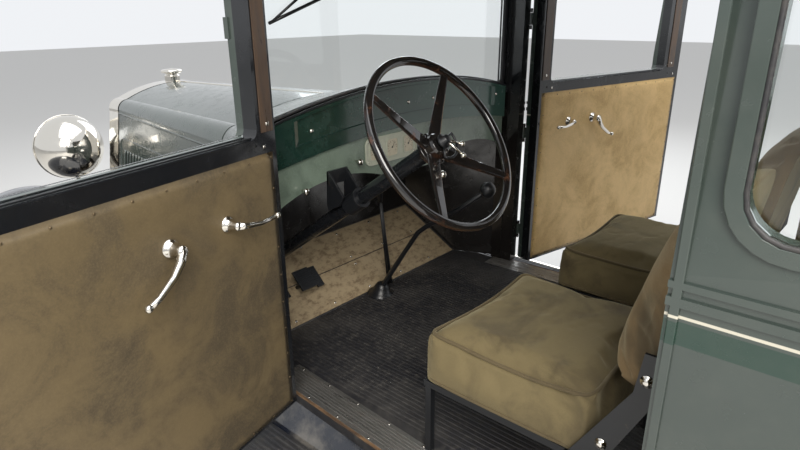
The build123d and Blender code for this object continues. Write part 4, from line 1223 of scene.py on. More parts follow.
def make_controls():
    """Bent gear lever with its boot and knob, and the hand brake."""
    bm = bmesh.new()
    lever = [(0, -0.355, 0.520), (0.001, -0.335, 0.560), (0.004, -0.235, 0.708), (0.006, -0.170, 0.802),
             (0.008, -0.130, 0.835), (0.014, 0.0, 0.922), (0.020, 0.098, 1.000)]
    add_tube(bm, lever, [0.010, 0.010, 0.0085, 0.008, 0.008, 0.0075, 0.007], 14)
    boot = ((0.048, 0.0), (0.050, 0.006), (0.034, 0.012), (0.027, 0.034), (0.020, 0.046), (0.012, 0.052))
    add_turned(bm, boot, (0, -0.355, 0.507), (0, 0.15, 1), 32)
    add_ball(bm, (0.020, 0.110, 1.010), 0.024)
    add_tube(bm, [(-0.096, -0.390, 0.508), (-0.072, -0.396, 0.700), (-0.050, -0.396, 0.859)], 0.0068, 12)
    add_tube(bm, [(-0.078, -0.388, 0.508), (-0.061, -0.393, 0.700), (-0.047, -0.396, 0.859)], 0.0038, 10)
    grip = [(-0.051, -0.396, 0.852), (-0.045, -0.394, 0.900), (-0.040, -0.392, 0.949)]
    add_tube(bm, grip, [0.009, 0.0125, 0.011], 16)
    controls = add_piece("gear_and_brake", bm, "satin", smooth=True)
    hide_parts("floor_controls")


def make_pedals():
    """Two ribbed pedals and the accelerator, on stems from the toe boards."""
    pedals = bmesh.new()
    start, slope, face, _ = toe_frame()
    for x, wide, tall, reach in ((0.402, 0.032, 0.038, 0.070), (0.286, 0.032, 0.038, 0.070),
                                 (0.222, 0.014, 0.040, 0.045)):
        foot = start + Vector((x, 0, 0)) + slope * 0.130
        top = foot + face * reach
        add_tube(pedals, [foot, foot + face * (reach - 0.012) - slope * 0.01, top - face * 0.004], 0.007, 12)

        def place(at):
            return top + Vector((at.x, 0, 0)) + slope * at.y + face * at.z

        add_box(pedals, (-wide, -tall, -0.005), (wide, tall, 0.003), place)
        for y in spread(tall - 0.010, 4):
            add_box(pedals, (-wide + 0.003, y - 0.0022, 0.003), (wide - 0.003, y + 0.0022, 0.0052), place)
    add_piece("pedals", pedals, "satin", bevel=0.0008)


def make_handles():
    """Inner handle, window crank and outer handle on each door."""
    # every place is (inward, along the door, up)
    inner = {
        "rose": ((0.019, 0), (0.019, 0.003), (0.015, 0.006), (0.011, 0.010), (0.0095, 0.026),
                 (0.010, 0.034), (0.004, 0.038)),
        "seat": (0.0665, 0.188, 1.084), "sign": 1, "sides": 32,
        "lever": ((0.098, 0.188, 1.084), (0.102, 0.160, 1.078), (0.106, 0.125, 1.073), (0.111, 0.078, 1.077)),
        "radii": (0.0085, 0.0068, 0.0052, 0.0048),
        "ball": (0.111, 0.076, 1.077), "ball radius": 0.0075,
    }
    crank = {
        "rose": ((0.021, 0), (0.021, 0.003), (0.016, 0.007), (0.012, 0.012), (0.011, 0.026),
                 (0.013, 0.036), (0.005, 0.041)),
        "seat": (0.0665, 0.342, 1.084), "sign": 1, "sides": 32,
        "lever": ((0.099, 0.340, 1.086), (0.101, 0.352, 1.064), (0.102, 0.372, 1.042), (0.103, 0.412, 1.016),
                  (0.103, 0.436, 1.008)),
        "radii": (0.0105, 0.0095, 0.0080, 0.0068, 0.0062),
        "ball": (0.104, 0.438, 1.008), "ball radius": 0.0085,
    }
    outer = {
        "rose": ((0.024, 0), (0.024, 0.004), (0.014, 0.008), (0.009, 0.014), (0.009, 0.044)),
        "seat": (0.0052, 0.905, 1.062), "sign": -1, "sides": 28,
        "lever": ((-0.036, 0.919, 1.062), (-0.041, 0.895, 1.062), (-0.043, 0.850, 1.060),
                  (-0.041, 0.797, 1.057)),
        "radii": (0.009, 0.0085, 0.0070, 0.0055),
        "ball": (-0.041, 0.797, 1.057), "ball radius": 0.0070,
    }
    for name, side in SIDES:
        def on(n, s, z):
            return on_door(side, (s, n, z))

        inward = on(1, 0, 0) - on(0, 0, 0)
        bm = bmesh.new()
        for part in (inner, crank, outer):
            add_turned(bm, part["rose"], on(*part["seat"]), inward * part["sign"], part["sides"])
            add_tube(bm, [on(*at) for at in part["lever"]], part["radii"], 14)
            add_ball(bm, on(*part["ball"]), part["ball radius"])
        add_piece("door_handles_" + name, bm, "nickel", "door_" + name, smooth=True)


make_dash_panel()
make_dash_apron()
make_instrument_plate()
make_dash_bead()
make_column_clamp()
make_dash_trim()
make_steering_wheel()
make_controls()
make_pedals()
make_handles()


# Wheels


def arc_points(start, middle, end, count):
    """Points along the circle through three points, without the last."""
    centre, radius = circle_through(start, middle, end)
    first, via, last = (math.atan2(p[1] - centre.y, p[0] - centre.x) for p in (start, middle, end))
    turn = (last - first + 2 * math.pi) % (2 * math.pi)
    if (via - first + 2 * math.pi) % (2 * math.pi) > turn:
        turn -= 2 * math.pi
    angles = (first + turn * i / count for i in range(count))
    return [centre + radius * Vector((math.cos(t), math.sin(t))) for t in angles]


def tyre_profile():
    """Half of the tyre's section as (radius, width) points, from bead to crown."""
    bead, shoulder = (RIM_R, 0.032), (TYRE_R - 0.016, TYRE_HALF - 0.016)
    side = arc_points(bead, ((TYRE_R + RIM_R) / 2 - 0.006, TYRE_HALF), shoulder, 13)
    for i in (3, 4, 8):
        side[i].y += 0.0009
    crown = arc_points(shoulder, (TYRE_R, 0.0), (shoulder[0], -shoulder[1]), 26)[:14]
    return [tuple(p) for p in side + crown]


def tread_cut(radius, off, k):
    """Depth of the tread's grooves and notches at a distance from its middle and a step round it."""
    if radius <= 0.360:
        return 0.0
    if 0.0075 < off < 0.0115 or 0.0215 < off < 0.0262:
        return 0.0042
    if off >= 0.0262 and k % 4 == 0:
        return 0.0036
    return 0.0020 if off <= 0.0075 and k % 8 == 4 else 0.0


def wheel_axes(axis):
    """Outward, level and upward directions of a wheel that turns about X (0) or Y (1)."""
    x, y, z = Vector((1, 0, 0)), Vector((0, 1, 0)), Vector((0, 0, 1))
    return (y, x, z) if axis else (x, y, z)


def make_tyre(name, body, centre, axis, side):
    """Tyre with ribbed sidewalls, circumferential grooves and notched shoulders."""
    half = tyre_profile()
    section = half + [(r, -w) for r, w in reversed(half[:-1])]
    steps = 168
    out, u, v = wheel_axes(axis)
    bm = bmesh.new()
    rings = []
    for k in range(steps):
        turn = 2 * math.pi * k / steps
        ray = u * math.cos(turn) + v * math.sin(turn)
        rings.append([Vector(centre) + ray * (r - tread_cut(r, abs(w), k)) + out * w * side
                      for r, w in section])
    join_rings(bm, rings, looped=True)
    return add_piece("tread_" + name, bm, "tyre", body, smooth=True)


def wheel_fittings(name, body, centre, axis, side):
    """Hub nuts between the spokes and rim clamps on one wheel."""
    out, u, v = wheel_axes(axis)
    out *= side
    nuts = bmesh.new()
    for i in range(SPOKES):
        turn = 2 * math.pi * (i + 0.5) / SPOKES
        ray = u * math.cos(turn) + v * math.sin(turn)
        at = Vector(centre) + ray * 0.072 + out * 0.025
        add_tube(nuts, [at, at + out * 0.006], 0.0085, 6)
        add_dome(nuts, at + out * 0.006, out, 0.0045, 0.004, 10)
        if i % 2 == 0:
            at = Vector(centre) + ray * 0.243 + out * 0.022
            add_tube(nuts, [at, at + out * 0.010], 0.009, 6)
    add_piece("wheel_nuts_" + name, nuts, "nickel", body)


def make_wheels():
    """Detailed tyres in place of the plain ones, and wheel fittings."""
    # node suffix, body, centre, axle axis, outward side
    rows = [(end + "_" + name, "wheel_" + end + "_" + name, (side * WHEEL_X, y, AXLE_Z), 0, side)
            for end, y in (("front", FRONT_AXLE_Y), ("rear", REAR_AXLE_Y)) for name, side in SIDES]
    rows.append(("spare", "body", SPARE_AT, 1, 1))
    for row in rows:
        name = row[0]
        tyre = make_tyre(*row)
        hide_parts("spare_tyre" if name == "spare" else "tyre_" + name)
        wheel_fittings(*row)


make_wheels()


# Upholstery


def half_copy(node, name, left_only=True):
    """The left solid of a node, or all of it, as a new object."""
    mesh = NODES[node].data.copy()
    mesh.name = name
    if left_only:
        bm = bmesh.new()
        bm.from_mesh(mesh)
        bmesh.ops.delete(bm, geom=[v for v in bm.verts if v.co.x < 0], context="VERTS")
        bm.to_mesh(mesh)
        bm.free()
    piece = bpy.data.objects.new(name, mesh)
    bpy.context.scene.collection.objects.link(piece)
    return piece


def baked(piece):
    """The piece's mesh as its modifiers leave it."""
    bpy.context.view_layer.update()
    graph = bpy.context.evaluated_depsgraph_get()
    return bpy.data.meshes.new_from_object(piece.evaluated_get(graph), depsgraph=graph)


def settle(piece, voxel, shrink):
    """Remeshes a solid evenly and draws it in, ready to be inflated."""
    piece.data.materials.clear()
    remesh = piece.modifiers.new("even", "REMESH")
    remesh.mode = "VOXEL"
    remesh.voxel_size = voxel
    mesh = baked(piece)
    piece.modifiers.clear()
    piece.data = mesh
    normals = [v.normal.copy() for v in mesh.vertices]
    for v, normal in zip(mesh.vertices, normals):
        v.co -= normal * shrink


def add_cloth(piece, pressure, held):
    """Cloth under inner pressure, held where the test says the pad rests on something."""
    group = piece.vertex_groups.new(name="held")
    group.add([v.index for v in piece.data.vertices if held(v.co)], 1.0, "REPLACE")
    cloth = piece.modifiers.new("cloth", "CLOTH")
    cloth.settings.quality = 5
    cloth.settings.mass = 0.4
    cloth.settings.tension_stiffness = 25
    cloth.settings.compression_stiffness = 25
    cloth.settings.bending_stiffness = 4
    cloth.settings.use_pressure = True
    cloth.settings.uniform_pressure_force = pressure
    cloth.settings.vertex_group_mass = "held"
    cloth.settings.effector_weights.gravity = 0
    cloth.collision_settings.use_collision = False


def inflate(pads):
    """Runs the cloth of all pads together, then keeps the result within a cap."""
    scene = bpy.context.scene
    for number in range(1, 21):
        scene.frame_set(number)
    for piece, cap in pads:
        start = [v.co.copy() for v in piece.data.vertices]
        mesh = baked(piece)
        for v, rest in zip(mesh.vertices, start):
            move = v.co - rest
            if move.length > cap:
                v.co = rest + move * (cap / move.length)
        piece.modifiers.clear()
        piece.vertex_groups.clear()
        piece.data = mesh
    scene.frame_set(1)


def mirrored(piece, name):
    """The same mesh on the other side."""
    mesh = piece.data.copy()
    bm = bmesh.new()
    bm.from_mesh(mesh)
    for v in bm.verts:
        v.co.x = -v.co.x
    bmesh.ops.reverse_faces(bm, faces=bm.faces)
    bm.to_mesh(mesh)
    bm.free()
    twin = bpy.data.objects.new(name, mesh)
    bpy.context.scene.collection.objects.link(twin)
    return twin


def round_outline(piece, spans, axes, corner, corners):
    """Pulls a pad's outline into rounded corners, seen along the third axis."""
    (a, b), (first, second) = spans, axes
    for v in piece.data.vertices:
        for sa, sb in corners:
            ca = a[1] - corner if sa > 0 else a[0] + corner
            cb = b[1] - corner if sb > 0 else b[0] + corner
            da, db = (v.co[first] - ca) * sa, (v.co[second] - cb) * sb
            length = math.hypot(da, db)
            if da > 0 and db > 0 and length > corner:
                v.co[first] = ca + sa * da * corner / length
                v.co[second] = cb + sb * db * corner / length


def extent(piece):
    """Lowest and highest coordinates of a mesh."""
    return [Vector([pick(v.co[i] for v in piece.data.vertices) for i in range(3)]) for pick in (min, max)]


def crown(piece, axis, sign, others, depth, lean=None):
    """Lowers one face towards its edges, so that the pad swells in the middle."""
    low, high = extent(piece)
    if lean is not None:
        levels = [sign * (v.co[axis] - lean * v.co.z) for v in piece.data.vertices]
        near, far = max(levels), min(levels)
    for v in piece.data.vertices:
        facing = min(1.0, max(0.0, v.normal[axis] * sign) / 0.7)
        if lean is not None:
            facing = (levels[v.index] - far) / (near - far)
        fall = 0.0
        for i in others:
            share = abs((v.co[i] - low[i]) / (high[i] - low[i]) * 2 - 1)
            fall += share ** 3.2
        v.co[axis] -= sign * depth * min(1.4, fall) * facing


def wear_in(piece, sag):
    """Sinks the middle of a seat and lays a few soft creases across it."""
    low, high = extent(piece)
    for v in piece.data.vertices:
        if v.normal.z < 0.3:
            continue
        u = (v.co.x - low.x) / (high.x - low.x) * 2 - 1
        w = (v.co.y - low.y) / (high.y - low.y) * 2 - 1
        hollow = max(0.0, 1 - u * u) * max(0.0, 1 - w * w)
        crease = noise.noise(Vector((v.co.x * 6, v.co.y * 15, 1.7)))
        v.co.z -= sag * hollow * (0.8 + 0.5 * crease)
        ridge = abs(noise.noise(Vector((v.co.x * 9 + 4, v.co.y * 22, 0.3))))
        v.co.z -= 0.0030 * hollow * max(0.0, 1 - ridge * 9)


def finish_pad(piece, finish, node):
    """Material and softening of one finished pad, which rides on the body in place of its plain solid."""
    piece.data.materials.clear()
    piece.data.materials.append(MATERIALS[finish])
    for face in piece.data.polygons:
        face.use_smooth = True
    soft = piece.modifiers.new("soft", "SUBSURF")
    soft.levels = 1
    soft.render_levels = 1
    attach(piece, "body")
    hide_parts(node)


def lay_piping(name, piece, x, y, z, radius, corner=0.04, count=140):
    """Covered cord sewn on a pad's surface, along a rounded rectangle at one height."""
    faces = [p.vertices for p in piece.data.polygons]
    tree = BVHTree.FromPolygons([v.co for v in piece.data.vertices], faces)
    sunk = 0.3
    points = []
    for at in rounded_loop(x, y, corner, count, lambda a, b: (a, b, z)):
        spot, normal, _, _ = tree.find_nearest(Vector(at))
        points.append(spot + normal * radius * (1 - sunk))
    for _ in range(14):
        points = [(points[i - 1] + points[i] * 2 + points[(i + 1) % count]) / 4 for i in range(count)]
    bm = bmesh.new()
    add_tube(bm, points, radius, 8, closed=True)
    add_piece(name, bm, "piping", smooth=True)


def drawn_in(low, high, i, by):
    """Span of one coordinate of a box, drawn in at both ends."""
    return (low[i] + by, high[i] - by)


def make_upholstery():
    """Front seats, and the rear bench with its back, as stuffed pads with piping."""
    cushion = half_copy("front_cushions", "cushion_left")
    rest = half_copy("front_backrests", "backrest_left")
    bench = half_copy("rear_cushion", "bench", False)
    back = half_copy("rear_backrest", "bench_back", False)
    settle(cushion, 0.009, 0.005)
    settle(rest, 0.009, 0.006)
    settle(bench, 0.014, 0.009)
    settle(back, 0.014, 0.009)
    seat_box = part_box("front_cushions")
    rest_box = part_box("front_backrests")
    bench_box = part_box("rear_cushion")
    back_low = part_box("rear_backrest")[0]
    across_seat = (0.105, 0.551)
    seat_y, seat_z = drawn_in(*seat_box, 1, 0.007), drawn_in(*seat_box, 2, 0.007)
    rest_z = drawn_in(*rest_box, 2, 0.007)
    upper, lower = ((1, 1), (-1, 1)), ((1, -1), (-1, -1))
    round_outline(cushion, (across_seat, seat_y), (0, 1), 0.050, lower)
    round_outline(cushion, (seat_y, seat_z), (1, 2), 0.045, ((-1, 1),))
    round_outline(cushion, (across_seat, seat_z), (0, 2), 0.034, upper)
    round_outline(rest, (across_seat, rest_z), (0, 2), 0.120, upper)
    round_outline(rest, (across_seat, rest_z), (0, 2), 0.095, lower)
    crown(cushion, 2, 1, (0, 1), 0.010)
    crown(rest, 1, -1, (0, 2), 0.026, REST_LEAN)
    crown(bench, 2, 1, (0, 1), 0.014)
    crown(back, 1, -1, (0, 2), 0.020)
    seat_sole, bench_sole, back_sole = (low.z + rise for low, rise in (
        (seat_box[0], 0.016), (bench_box[0], 0.022), (back_low, 0.022)))
    rest_back, rest_back_z, bench_back_y = 0.775, 0.850, 1.690
    add_cloth(cushion, 4.0, lambda p: p.z < seat_sole)
    add_cloth(rest, 4.5, lambda p: p.y > rest_back + (p.z - rest_back_z) * REST_LEAN)
    add_cloth(bench, 4.0, lambda p: p.z < bench_sole)
    add_cloth(back, 3.0, lambda p: p.z < back_sole or p.y > bench_back_y)
    inflate(((cushion, 0.015), (rest, 0.024), (bench, 0.016), (back, 0.014)))
    wear_in(cushion, 0.010)
    wear_in(bench, 0.012)
    cushion_twin = mirrored(cushion, "cushion_right")
    rest_twin = mirrored(rest, "backrest_right")
    pairs = ((cushion, rest), (cushion_twin, rest_twin))
    low, high = seat_box
    for (name, side), (seat, upright) in zip(SIDES, pairs):
        finish_pad(seat, "mohair", "front_cushions")
        finish_pad(upright, "rest", "front_backrests")
        xs = sorted((side * 0.100, side * high.x))
        top = (xs[0] + 0.006, xs[1] - 0.006)
        lay_piping("cushion_piping_" + name, seat, top, drawn_in(low, high, 1, 0.006), high.z - 0.012, 0.0042)
        lay_piping("cushion_base_piping_" + name, seat, xs, drawn_in(low, high, 1, 0), low.z + 0.016, 0.0036)
    finish_pad(bench, "mohair", "rear_cushion")
    finish_pad(back, "rest", "rear_backrest")
    xs, ys = drawn_in(*bench_box, 0, 0.008), drawn_in(*bench_box, 1, 0.006)
    lay_piping("bench_piping", bench, xs, ys, bench_box[1].z - 0.014, 0.0046, 0.03, 200)


def make_seat_bolts():
    """Hinge bolts and washers on the seat brackets, and the catch under each cushion's front."""
    bolt = ((0.0115, 0), (0.0115, 0.0018), (0.007, 0.0020), (0.007, 0.0058), (0.004, 0.0075))
    catch = ((0.006, 0), (0.006, 0.022), (0.011, 0.024), (0.011, 0.034), (0.006, 0.036))
    for name, side in SIDES:
        bm = bmesh.new()
        for x, out in ((0.5621, 1), (0.0937, -1)):
            for y, z in ((0.672, 0.700), (0.718, 0.770), (0.780, 0.930)):
                add_turned(bm, bolt, (side * x, y, z), (side * out, 0, 0), 20)
        add_turned(bm, catch, (side * 0.470, 0.288, 0.668), (0, -1, 0.1), 18)
        add_piece("seat_bolts_" + name, bm, "nickel", smooth=True)


make_upholstery()
make_seat_bolts()


# Outside trim


def make_board_mats():
    """Ribbed rubber with a nickel edge on each running board."""
    low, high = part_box("running_boards")
    for name, side in SIDES:
        mat = bmesh.new()
        xs = sorted((side * 0.655, side * 0.838))
        add_ribs(mat, xs, drawn_in(low, high, 1, 0.01), BOARD_TOP + 0.0001, 0.003, 0.015, 0.003)
        add_piece("board_mat_" + name, mat, "rubber", bevel=0.0006)
        rail = bmesh.new()
        xs = sorted((side * 0.840, side * 0.8575))
        foot, crest = BOARD_TOP - 0.010, BOARD_TOP + 0.006
        add_box(rail, (xs[0], low.y + 0.004, foot), (xs[1], high.y - 0.004, crest))
        add_piece("board_rail_" + name, rail, "nickel", bevel=0.003)


def make_radiator_fins():
    """Upright fins across the core's face, shorter towards its narrowing foot and its shoulders."""
    low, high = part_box("radiator_core")
    bm = bmesh.new()
    foot = low.z + 0.004
    thick, deep, shortest = 0.0012, 0.005, 0.03
    core_half, narrowing = 0.345, 0.092
    for x in spread((high.x - low.x) / 2 - 0.012, 59):
        share = abs(x) / high.x
        top = high.z - 0.012 - 0.070 * max(0.0, share - 0.15) ** 2 - 0.8 * max(0.0, share - 0.72)
        if abs(x) > core_half - narrowing * (top - foot) / 0.6:
            top = foot + max(0.0, (core_half - abs(x)) / narrowing) * 0.56
        if top - foot > shortest:
            add_box(bm, (x - thick, low.y - deep, foot), (x + thick, low.y - 0.0001, top))
    add_piece("radiator_front_fins", bm, "fins")


def make_lamp_details():
    """Rim beads, bulbs and their sockets in the headlamps."""
    for name, side in SIDES:
        centre = Vector((side * LAMP_AT[0], LAMP_AT[1], LAMP_AT[2]))
        bm = bmesh.new()
        ring = circle(centre - Vector((0, 0.016, 0)), Vector((1, 0, 0)), Vector((0, 0, 1)), LAMP_R, 64)
        add_tube(bm, ring, 0.0045, 10, closed=True)
        add_piece("lamp_rim_" + name, bm, "nickel", smooth=True)
        bulb = bmesh.new()
        back, front = (centre + Vector((0, y, 0)) for y in (0.035, 0.015))
        add_tube(bulb, [back, front], 0.011, 16)
        add_dome(bulb, front, (0, -1, 0), 0.0105, 0.018, 16)
        add_piece("lamp_bulb_" + name, bulb, "dial", slot="lens_glass", smooth=True)


def make_glass():
    """Panes in place of the plain ones, the windscreen's reaching down to the scuttle."""
    bm = bmesh.new()
    thick, gap = 0.006, 0.0003
    outline = [(x, SCREEN_Y, arch_z(x, 0.0) + 0.0004) for x in spread(SCREEN_HALF, 40)]
    outline += [(SCREEN_HALF, SCREEN_Y, SCREEN_TOP), (-SCREEN_HALF, SCREEN_Y, SCREEN_TOP)]
    add_prism(bm, outline, (0, thick, 0))
    quarter_x = 0.655
    ys, zs = ((span[0] + gap, span[1] - gap) for span in (QUARTER_Y, (WINDOW_Z, WINDOW_TOP)))
    for side in (1, -1):
        loop = rounded_loop(ys, zs, 0.060, 90, lambda y, z: (side * quarter_x, y, z))
        add_prism(bm, loop, (side * thick, 0, 0))
    back_y, back_half = 1.772, 0.2897
    loop = rounded_loop((-back_half, back_half), (1.3303, 1.5897), 0.050, 90, lambda x, z: (x, back_y, z))
    add_prism(bm, loop, (0, thick, 0))
    panes = add_piece("glass_panes", bm, "glass")
    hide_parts("fixed_glass")

    sash = bmesh.new()
    front, rear = -0.229, -0.205
    for side in (1, -1):
        xs = sorted((side * 0.5412, side * 0.5617))
        add_box(sash, (xs[0], front, 1.2440), (xs[1], rear, SCREEN_TOP))
    for low_y, high_y in ((front, -0.2205), (-0.2135, rear)):
        add_box(sash, (-SCREEN_HALF, low_y, 1.6180), (SCREEN_HALF, high_y, SCREEN_TOP))
    add_piece("windscreen_sash", sash, "satin", slot="black_enamel", bevel=0.002)
    seal = bmesh.new()
    for y in (-0.2235, -0.2105):
        add_tube(seal, [(x, y, arch_z(x, 0.0) + 0.0015) for x in spread(0.545, 40)], 0.0032, 8)
    add_piece("windscreen_seal", seal, "rubber", smooth=True)


def make_wiper():
    """Hand wiper on the driver's side: a pivot in the header, an arm and a rubber blade."""
    bm = bmesh.new()
    at, tip = Vector((0.300, -0.2125, 1.628)), Vector((0.516, -0.206, 1.492))
    add_turned(bm, ((0.012, 0), (0.012, 0.010), (0.007, 0.013), (0.003, 0.016)), at, (0, 1, 0), 20)
    middle = at.lerp(tip, 0.5) + Vector((0, 0.004, 0))
    add_tube(bm, [at + Vector((0, 0.009, 0)), middle, tip], [0.0042, 0.0036, 0.0030], 10)
    low, high = Vector((0.526, -0.2095, 1.486)), Vector((0.345, -0.2095, 1.547))
    add_tube(bm, [low, low.lerp(high, 0.5), high], 0.0042, 8)
    add_tube(bm, [tip, low.lerp(high, 0.06)], 0.0035, 8)
    add_piece("wiper", bm, "satin", smooth=True)


def skin_x(y):
    """Half width of the body's outer face beside the quarter windows."""
    return 0.680 - (y - 0.820) * 0.008 / 0.750


def make_body_mouldings():
    """Raised frames and seals round the quarter windows, and door-post beads."""
    for name, side in SIDES:
        def loop(out, corner, lift):
            """Loop round the window, drawn out from its edge and lifted off the skin."""
            y, z = ((span[0] - out, span[1] + out) for span in (QUARTER_Y, (WINDOW_Z, WINDOW_TOP)))
            return rounded_loop(y, z, corner, 96, lambda y, z: (side * (skin_x(y) + lift), y, z))

        bm = bmesh.new()
        add_frame_ring(bm, loop(0, 0.060, -0.001), loop(0.022, 0.082, -0.001), (side * 0.0055, 0, 0))
        add_box(bm, (side * 0.6790, 0.8245, 0.520), (side * 0.6848, 0.8380, 1.655))
        add_piece("quarter_moulding_" + name, bm, "body", bevel=0.0016)
        seal = bmesh.new()
        add_tube(seal, loop(-0.0025, 0.0575, 0.0012), 0.0036, 8, closed=True)
        add_piece("quarter_seal_" + name, seal, "rubber", smooth=True)


def hood_half(y, z):
    """Half width of the hood's side at a place, between its lower and its upper edge."""
    front_y, rear_y = -1.652, -0.620
    # half width and height of each edge at the front and the rear
    lower = ((0.392, 0.560), (0.460, 0.505))
    upper = ((0.299, 1.098), (0.441, 1.104))
    share = (y - front_y) / (rear_y - front_y)
    foot, foot_z = (a + share * (b - a) for a, b in zip(*lower))
    top, top_z = (a + share * (b - a) for a, b in zip(*upper))
    return foot + (top - foot) * (z - foot_z) / (top_z - foot_z)


def make_louvres():
    """Pressed louvres with black boxes in the slots behind them as painted shade, in an embossed outline, on
    each hood side.
    """
    # height and share of the full rise, then run, lift that rises with it and plain lift
    stations = ((0.796, 0.02), (0.802, 0.55), (0.814, 0.95), (0.840, 1), (0.904, 1), (0.930, 0.95),
                (0.942, 0.55), (0.948, 0.02))
    louvres, first_y, pitch = 26, -1.580, 0.033
    section = ((0, 0, -0.0006), (0.0005, 0, 0.0004), (0.010, 0.0050, 0), (0.020, 0.0078, 0),
               (0.0225, 0.0074, 0), (0.0228, 0, -0.0006))
    for name, side in SIDES:
        def place(at):
            """Place on the hood's side from (lift, y, z)."""
            lift, y, z = at
            return Vector((side * (hood_half(y, z) + lift), y, z))

        body = "hood_side_" + name
        bm = bmesh.new()
        shade_slots = bmesh.new()
        for i in range(louvres):
            y = first_y + pitch * i
            join_rings(bm, [[place((rising * rise + lift, y + run, z)) for run, rising, lift in section]
                            for z, rise in stations])
            # A black box in each louvre's opening: painted shade.
            add_box(shade_slots, (-0.0006, y + 0.0230, 0.803), (0.0007, y + 0.0285, 0.941), place)
        loop = rounded_loop((-1.616, -0.686), (0.782, 0.994), 0.020, 120, lambda y, z: place((0, y, z)))
        add_tube(bm, loop, 0.0028, 8, closed=True)
        add_piece("louvres_" + name, bm, "hood", body, smooth=True)
        add_piece("louvre_shade_slots_" + name, shade_slots, "print_and_shade", body)


def make_bumpers():
    """Twin spring bars front and rear on their arms, with clamps and bolts."""
    bars = bmesh.new()
    front, rear = -BUMPER_Y, BUMPER_Y
    half, rear_gap = 0.760, 0.330
    bar_z, bar_tall, bar_thick = (0.430, 0.4635), 0.0245, 0.008
    lengths = ((-half, half, front, 1), (rear_gap, half, rear, -1), (-half, -rear_gap, rear, -1))
    for x0, x1, face, inward in lengths:
        near, far = sorted((face, face + inward * bar_thick))
        for z in bar_z:
            add_box(bars, (x0, near, z), (x1, far, z + bar_tall))
        near, far = sorted((face - inward * 0.001, face + inward * 0.010))
        for x in (x0 + 0.004, x1 - 0.028):
            add_box(bars, (x, near, 0.4295), (x + 0.024, far, 0.4885))
    for side in (1, -1):
        x0, x1 = sorted((side * 0.405, side * 0.429))
        add_box(bars, (x0, front - 0.002, 0.4290), (x1, front + 0.010, 0.4890))
        add_box(bars, (x0, rear - 0.010, 0.4290), (x1, rear + 0.002, 0.4890))
        x0, x1 = sorted((side * 0.410, side * 0.424))
        add_box(bars, (x0, front + 0.009, 0.440), (x1, -2.0104, 0.470))
        add_box(bars, (x0, 1.9304, 0.470), (x1, rear - 0.009, 0.488))
    piece = add_piece("bumper_bars", bars, "nickel", bevel=0.0035)
    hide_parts("bumpers")
    bolts = bmesh.new()
    head = ((0.008, 0), (0.008, 0.003), (0.005, 0.006), (0.002, 0.0068))
    for face, out in ((front - 0.002, -1), (rear + 0.002, 1)):
        for x in (-0.417, 0.417):
            for z in (0.442, 0.476):
                add_turned(bolts, head, (x, face, z), (0, out, 0), 16)
    add_piece("bumper_bolts", bolts, "nickel", smooth=True)


def make_cap_and_tail_lamp():
    """Filler cap on the radiator, and a tail lamp on its stalk."""
    cap = bmesh.new()
    profile = ((0.034, 0), (0.035, 0.004), (0.027, 0.008), (0.027, 0.013), (0.046, 0.017), (0.0475, 0.022),
               (0.0465, 0.028), (0.040, 0.031), (0.012, 0.034), (0.003, 0.036))
    add_turned(cap, profile, (0, -1.698, 1.2297), (0, 0, 1), 40)
    add_piece("radiator_cap", cap, "nickel", smooth=True)

    lamp = bmesh.new()
    at = Vector((0.565, 1.942, 0.697))
    drum = ((0.020, 0), (0.033, 0.006), (0.036, 0.014), (0.036, 0.052), (0.038, 0.054),
            (0.038, 0.060), (0.034, 0.061))
    add_turned(lamp, drum, at, (0, 1, 0), 36)
    stalk = [(0.417, 1.945, 0.484), (0.420, 1.948, 0.530), (0.470, 1.952, 0.610), (0.548, 1.956, 0.655),
             (0.565, 1.956, 0.668)]
    add_tube(lamp, stalk, 0.0065, 12)
    add_piece("tail_lamp_drum", lamp, "black", smooth=True)
    lens = bmesh.new()
    add_dome(lens, at + Vector((0, 0.0605, 0)), (0, 1, 0), 0.0335, 0.010, 32)
    add_piece("tail_lamp_lens", lens, "red", smooth=True)


make_glass()
make_wiper()
make_body_mouldings()
make_louvres()
make_bumpers()
make_cap_and_tail_lamp()
make_board_mats()
make_radiator_fins()
make_lamp_details()


# Stage


def make_camera():
    data = bpy.data.cameras.new("camera")
    data.lens = CAMERA_LENS
    data.sensor_width = 36
    data.clip_start = 0.05
    camera = bpy.data.objects.new("camera", data)
    yaw, pitch, roll = (math.radians(a) for a in (CAMERA_YAW, CAMERA_PITCH, CAMERA_ROLL))
    ahead = Vector((-math.sin(yaw) * math.cos(pitch), -math.cos(yaw) * math.cos(pitch), -math.sin(pitch)))
    side = ahead.cross(Vector((0, 0, 1))).normalized()
    up = side.cross(ahead)
    side, up = (side * math.cos(roll) + up * math.sin(roll), up * math.cos(roll) - side * math.sin(roll))
    turn = Matrix((side, up, -ahead)).transposed()
    camera.matrix_world = Matrix.Translation(CAMERA_AT) @ turn.to_4x4()
    bpy.context.scene.collection.objects.link(camera)
    bpy.context.scene.camera = camera


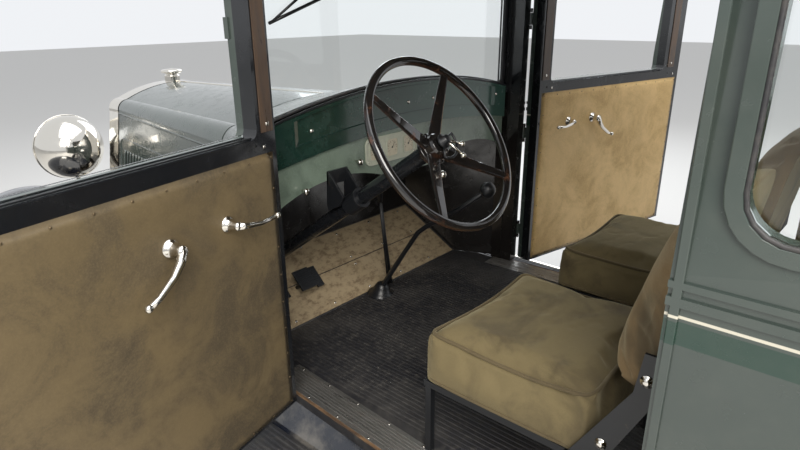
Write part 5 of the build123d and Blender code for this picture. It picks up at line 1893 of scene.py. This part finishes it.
def make_floor():
    mesh = bpy.data.meshes.new("floor_stage")
    reach = 30
    corners = [(-reach, -reach, 0), (reach, -reach, 0), (reach, reach, 0), (-reach, reach, 0)]
    mesh.from_pydata(corners, [], [(0, 1, 2, 3)])
    ground = bpy.data.objects.new("floor_stage", mesh)
    mesh.materials.append(Surface("stage_floor", (0.72, 0.71, 0.69, 1), 0.8).material)
    bpy.context.scene.collection.objects.link(ground)


def area_light(name, at, aim, size, power, color=(1, 1, 1)):
    data = bpy.data.lights.new(name, "AREA")
    data.shape = "RECTANGLE"
    data.size, data.size_y = size
    data.energy = power
    data.color = color
    lamp = bpy.data.objects.new(name, data)
    lamp.location = at
    lamp.rotation_mode = "QUATERNION"
    lamp.rotation_quaternion = (Vector(aim) - Vector(at)).to_track_quat("-Z", "Y")
    bpy.context.scene.collection.objects.link(lamp)


def make_world():
    """Even pale light, with a plain pale background in view and in reflections."""
    world = bpy.data.worlds.new("studio")
    bpy.context.scene.world = world
    world.use_nodes = True
    tree = world.node_tree
    back = tree.nodes["Background"]
    path = tree.nodes.new("ShaderNodeLightPath")
    seen = path.outputs["Is Camera Ray"]
    for name in ("Is Glossy Ray", "Is Transmission Ray"):
        either = tree.nodes.new("ShaderNodeMath")
        either.operation = "MAXIMUM"
        tree.links.new(seen, either.inputs[0])
        tree.links.new(path.outputs[name], either.inputs[1])
        seen = either.outputs[0]
    level = tree.nodes.new("ShaderNodeMapRange")
    level.inputs["To Min"].default_value = 0.65
    level.inputs["To Max"].default_value = 0.92
    tree.links.new(seen, level.inputs["Value"])
    tree.links.new(level.outputs[0], back.inputs["Strength"])
    back.inputs["Color"].default_value = (0.95, 0.97, 1.0, 1)


make_camera()
make_floor()
make_world()
area_light("key", (3.6, 3.4, 4.2), (0.2, 0.1, 0.9), (3.0, 3.0), 330, (1.0, 0.96, 0.90))
area_light("fill", (-4.2, -3.2, 3.4), (0, 0, 0.8), (4.0, 3.0), 120, (0.92, 0.96, 1.0))
area_light("top", (0.4, 0.2, 5.2), (0.2, 0, 0), (4.5, 5.5), 150)
bpy.context.scene.view_settings.view_transform = "Standard"
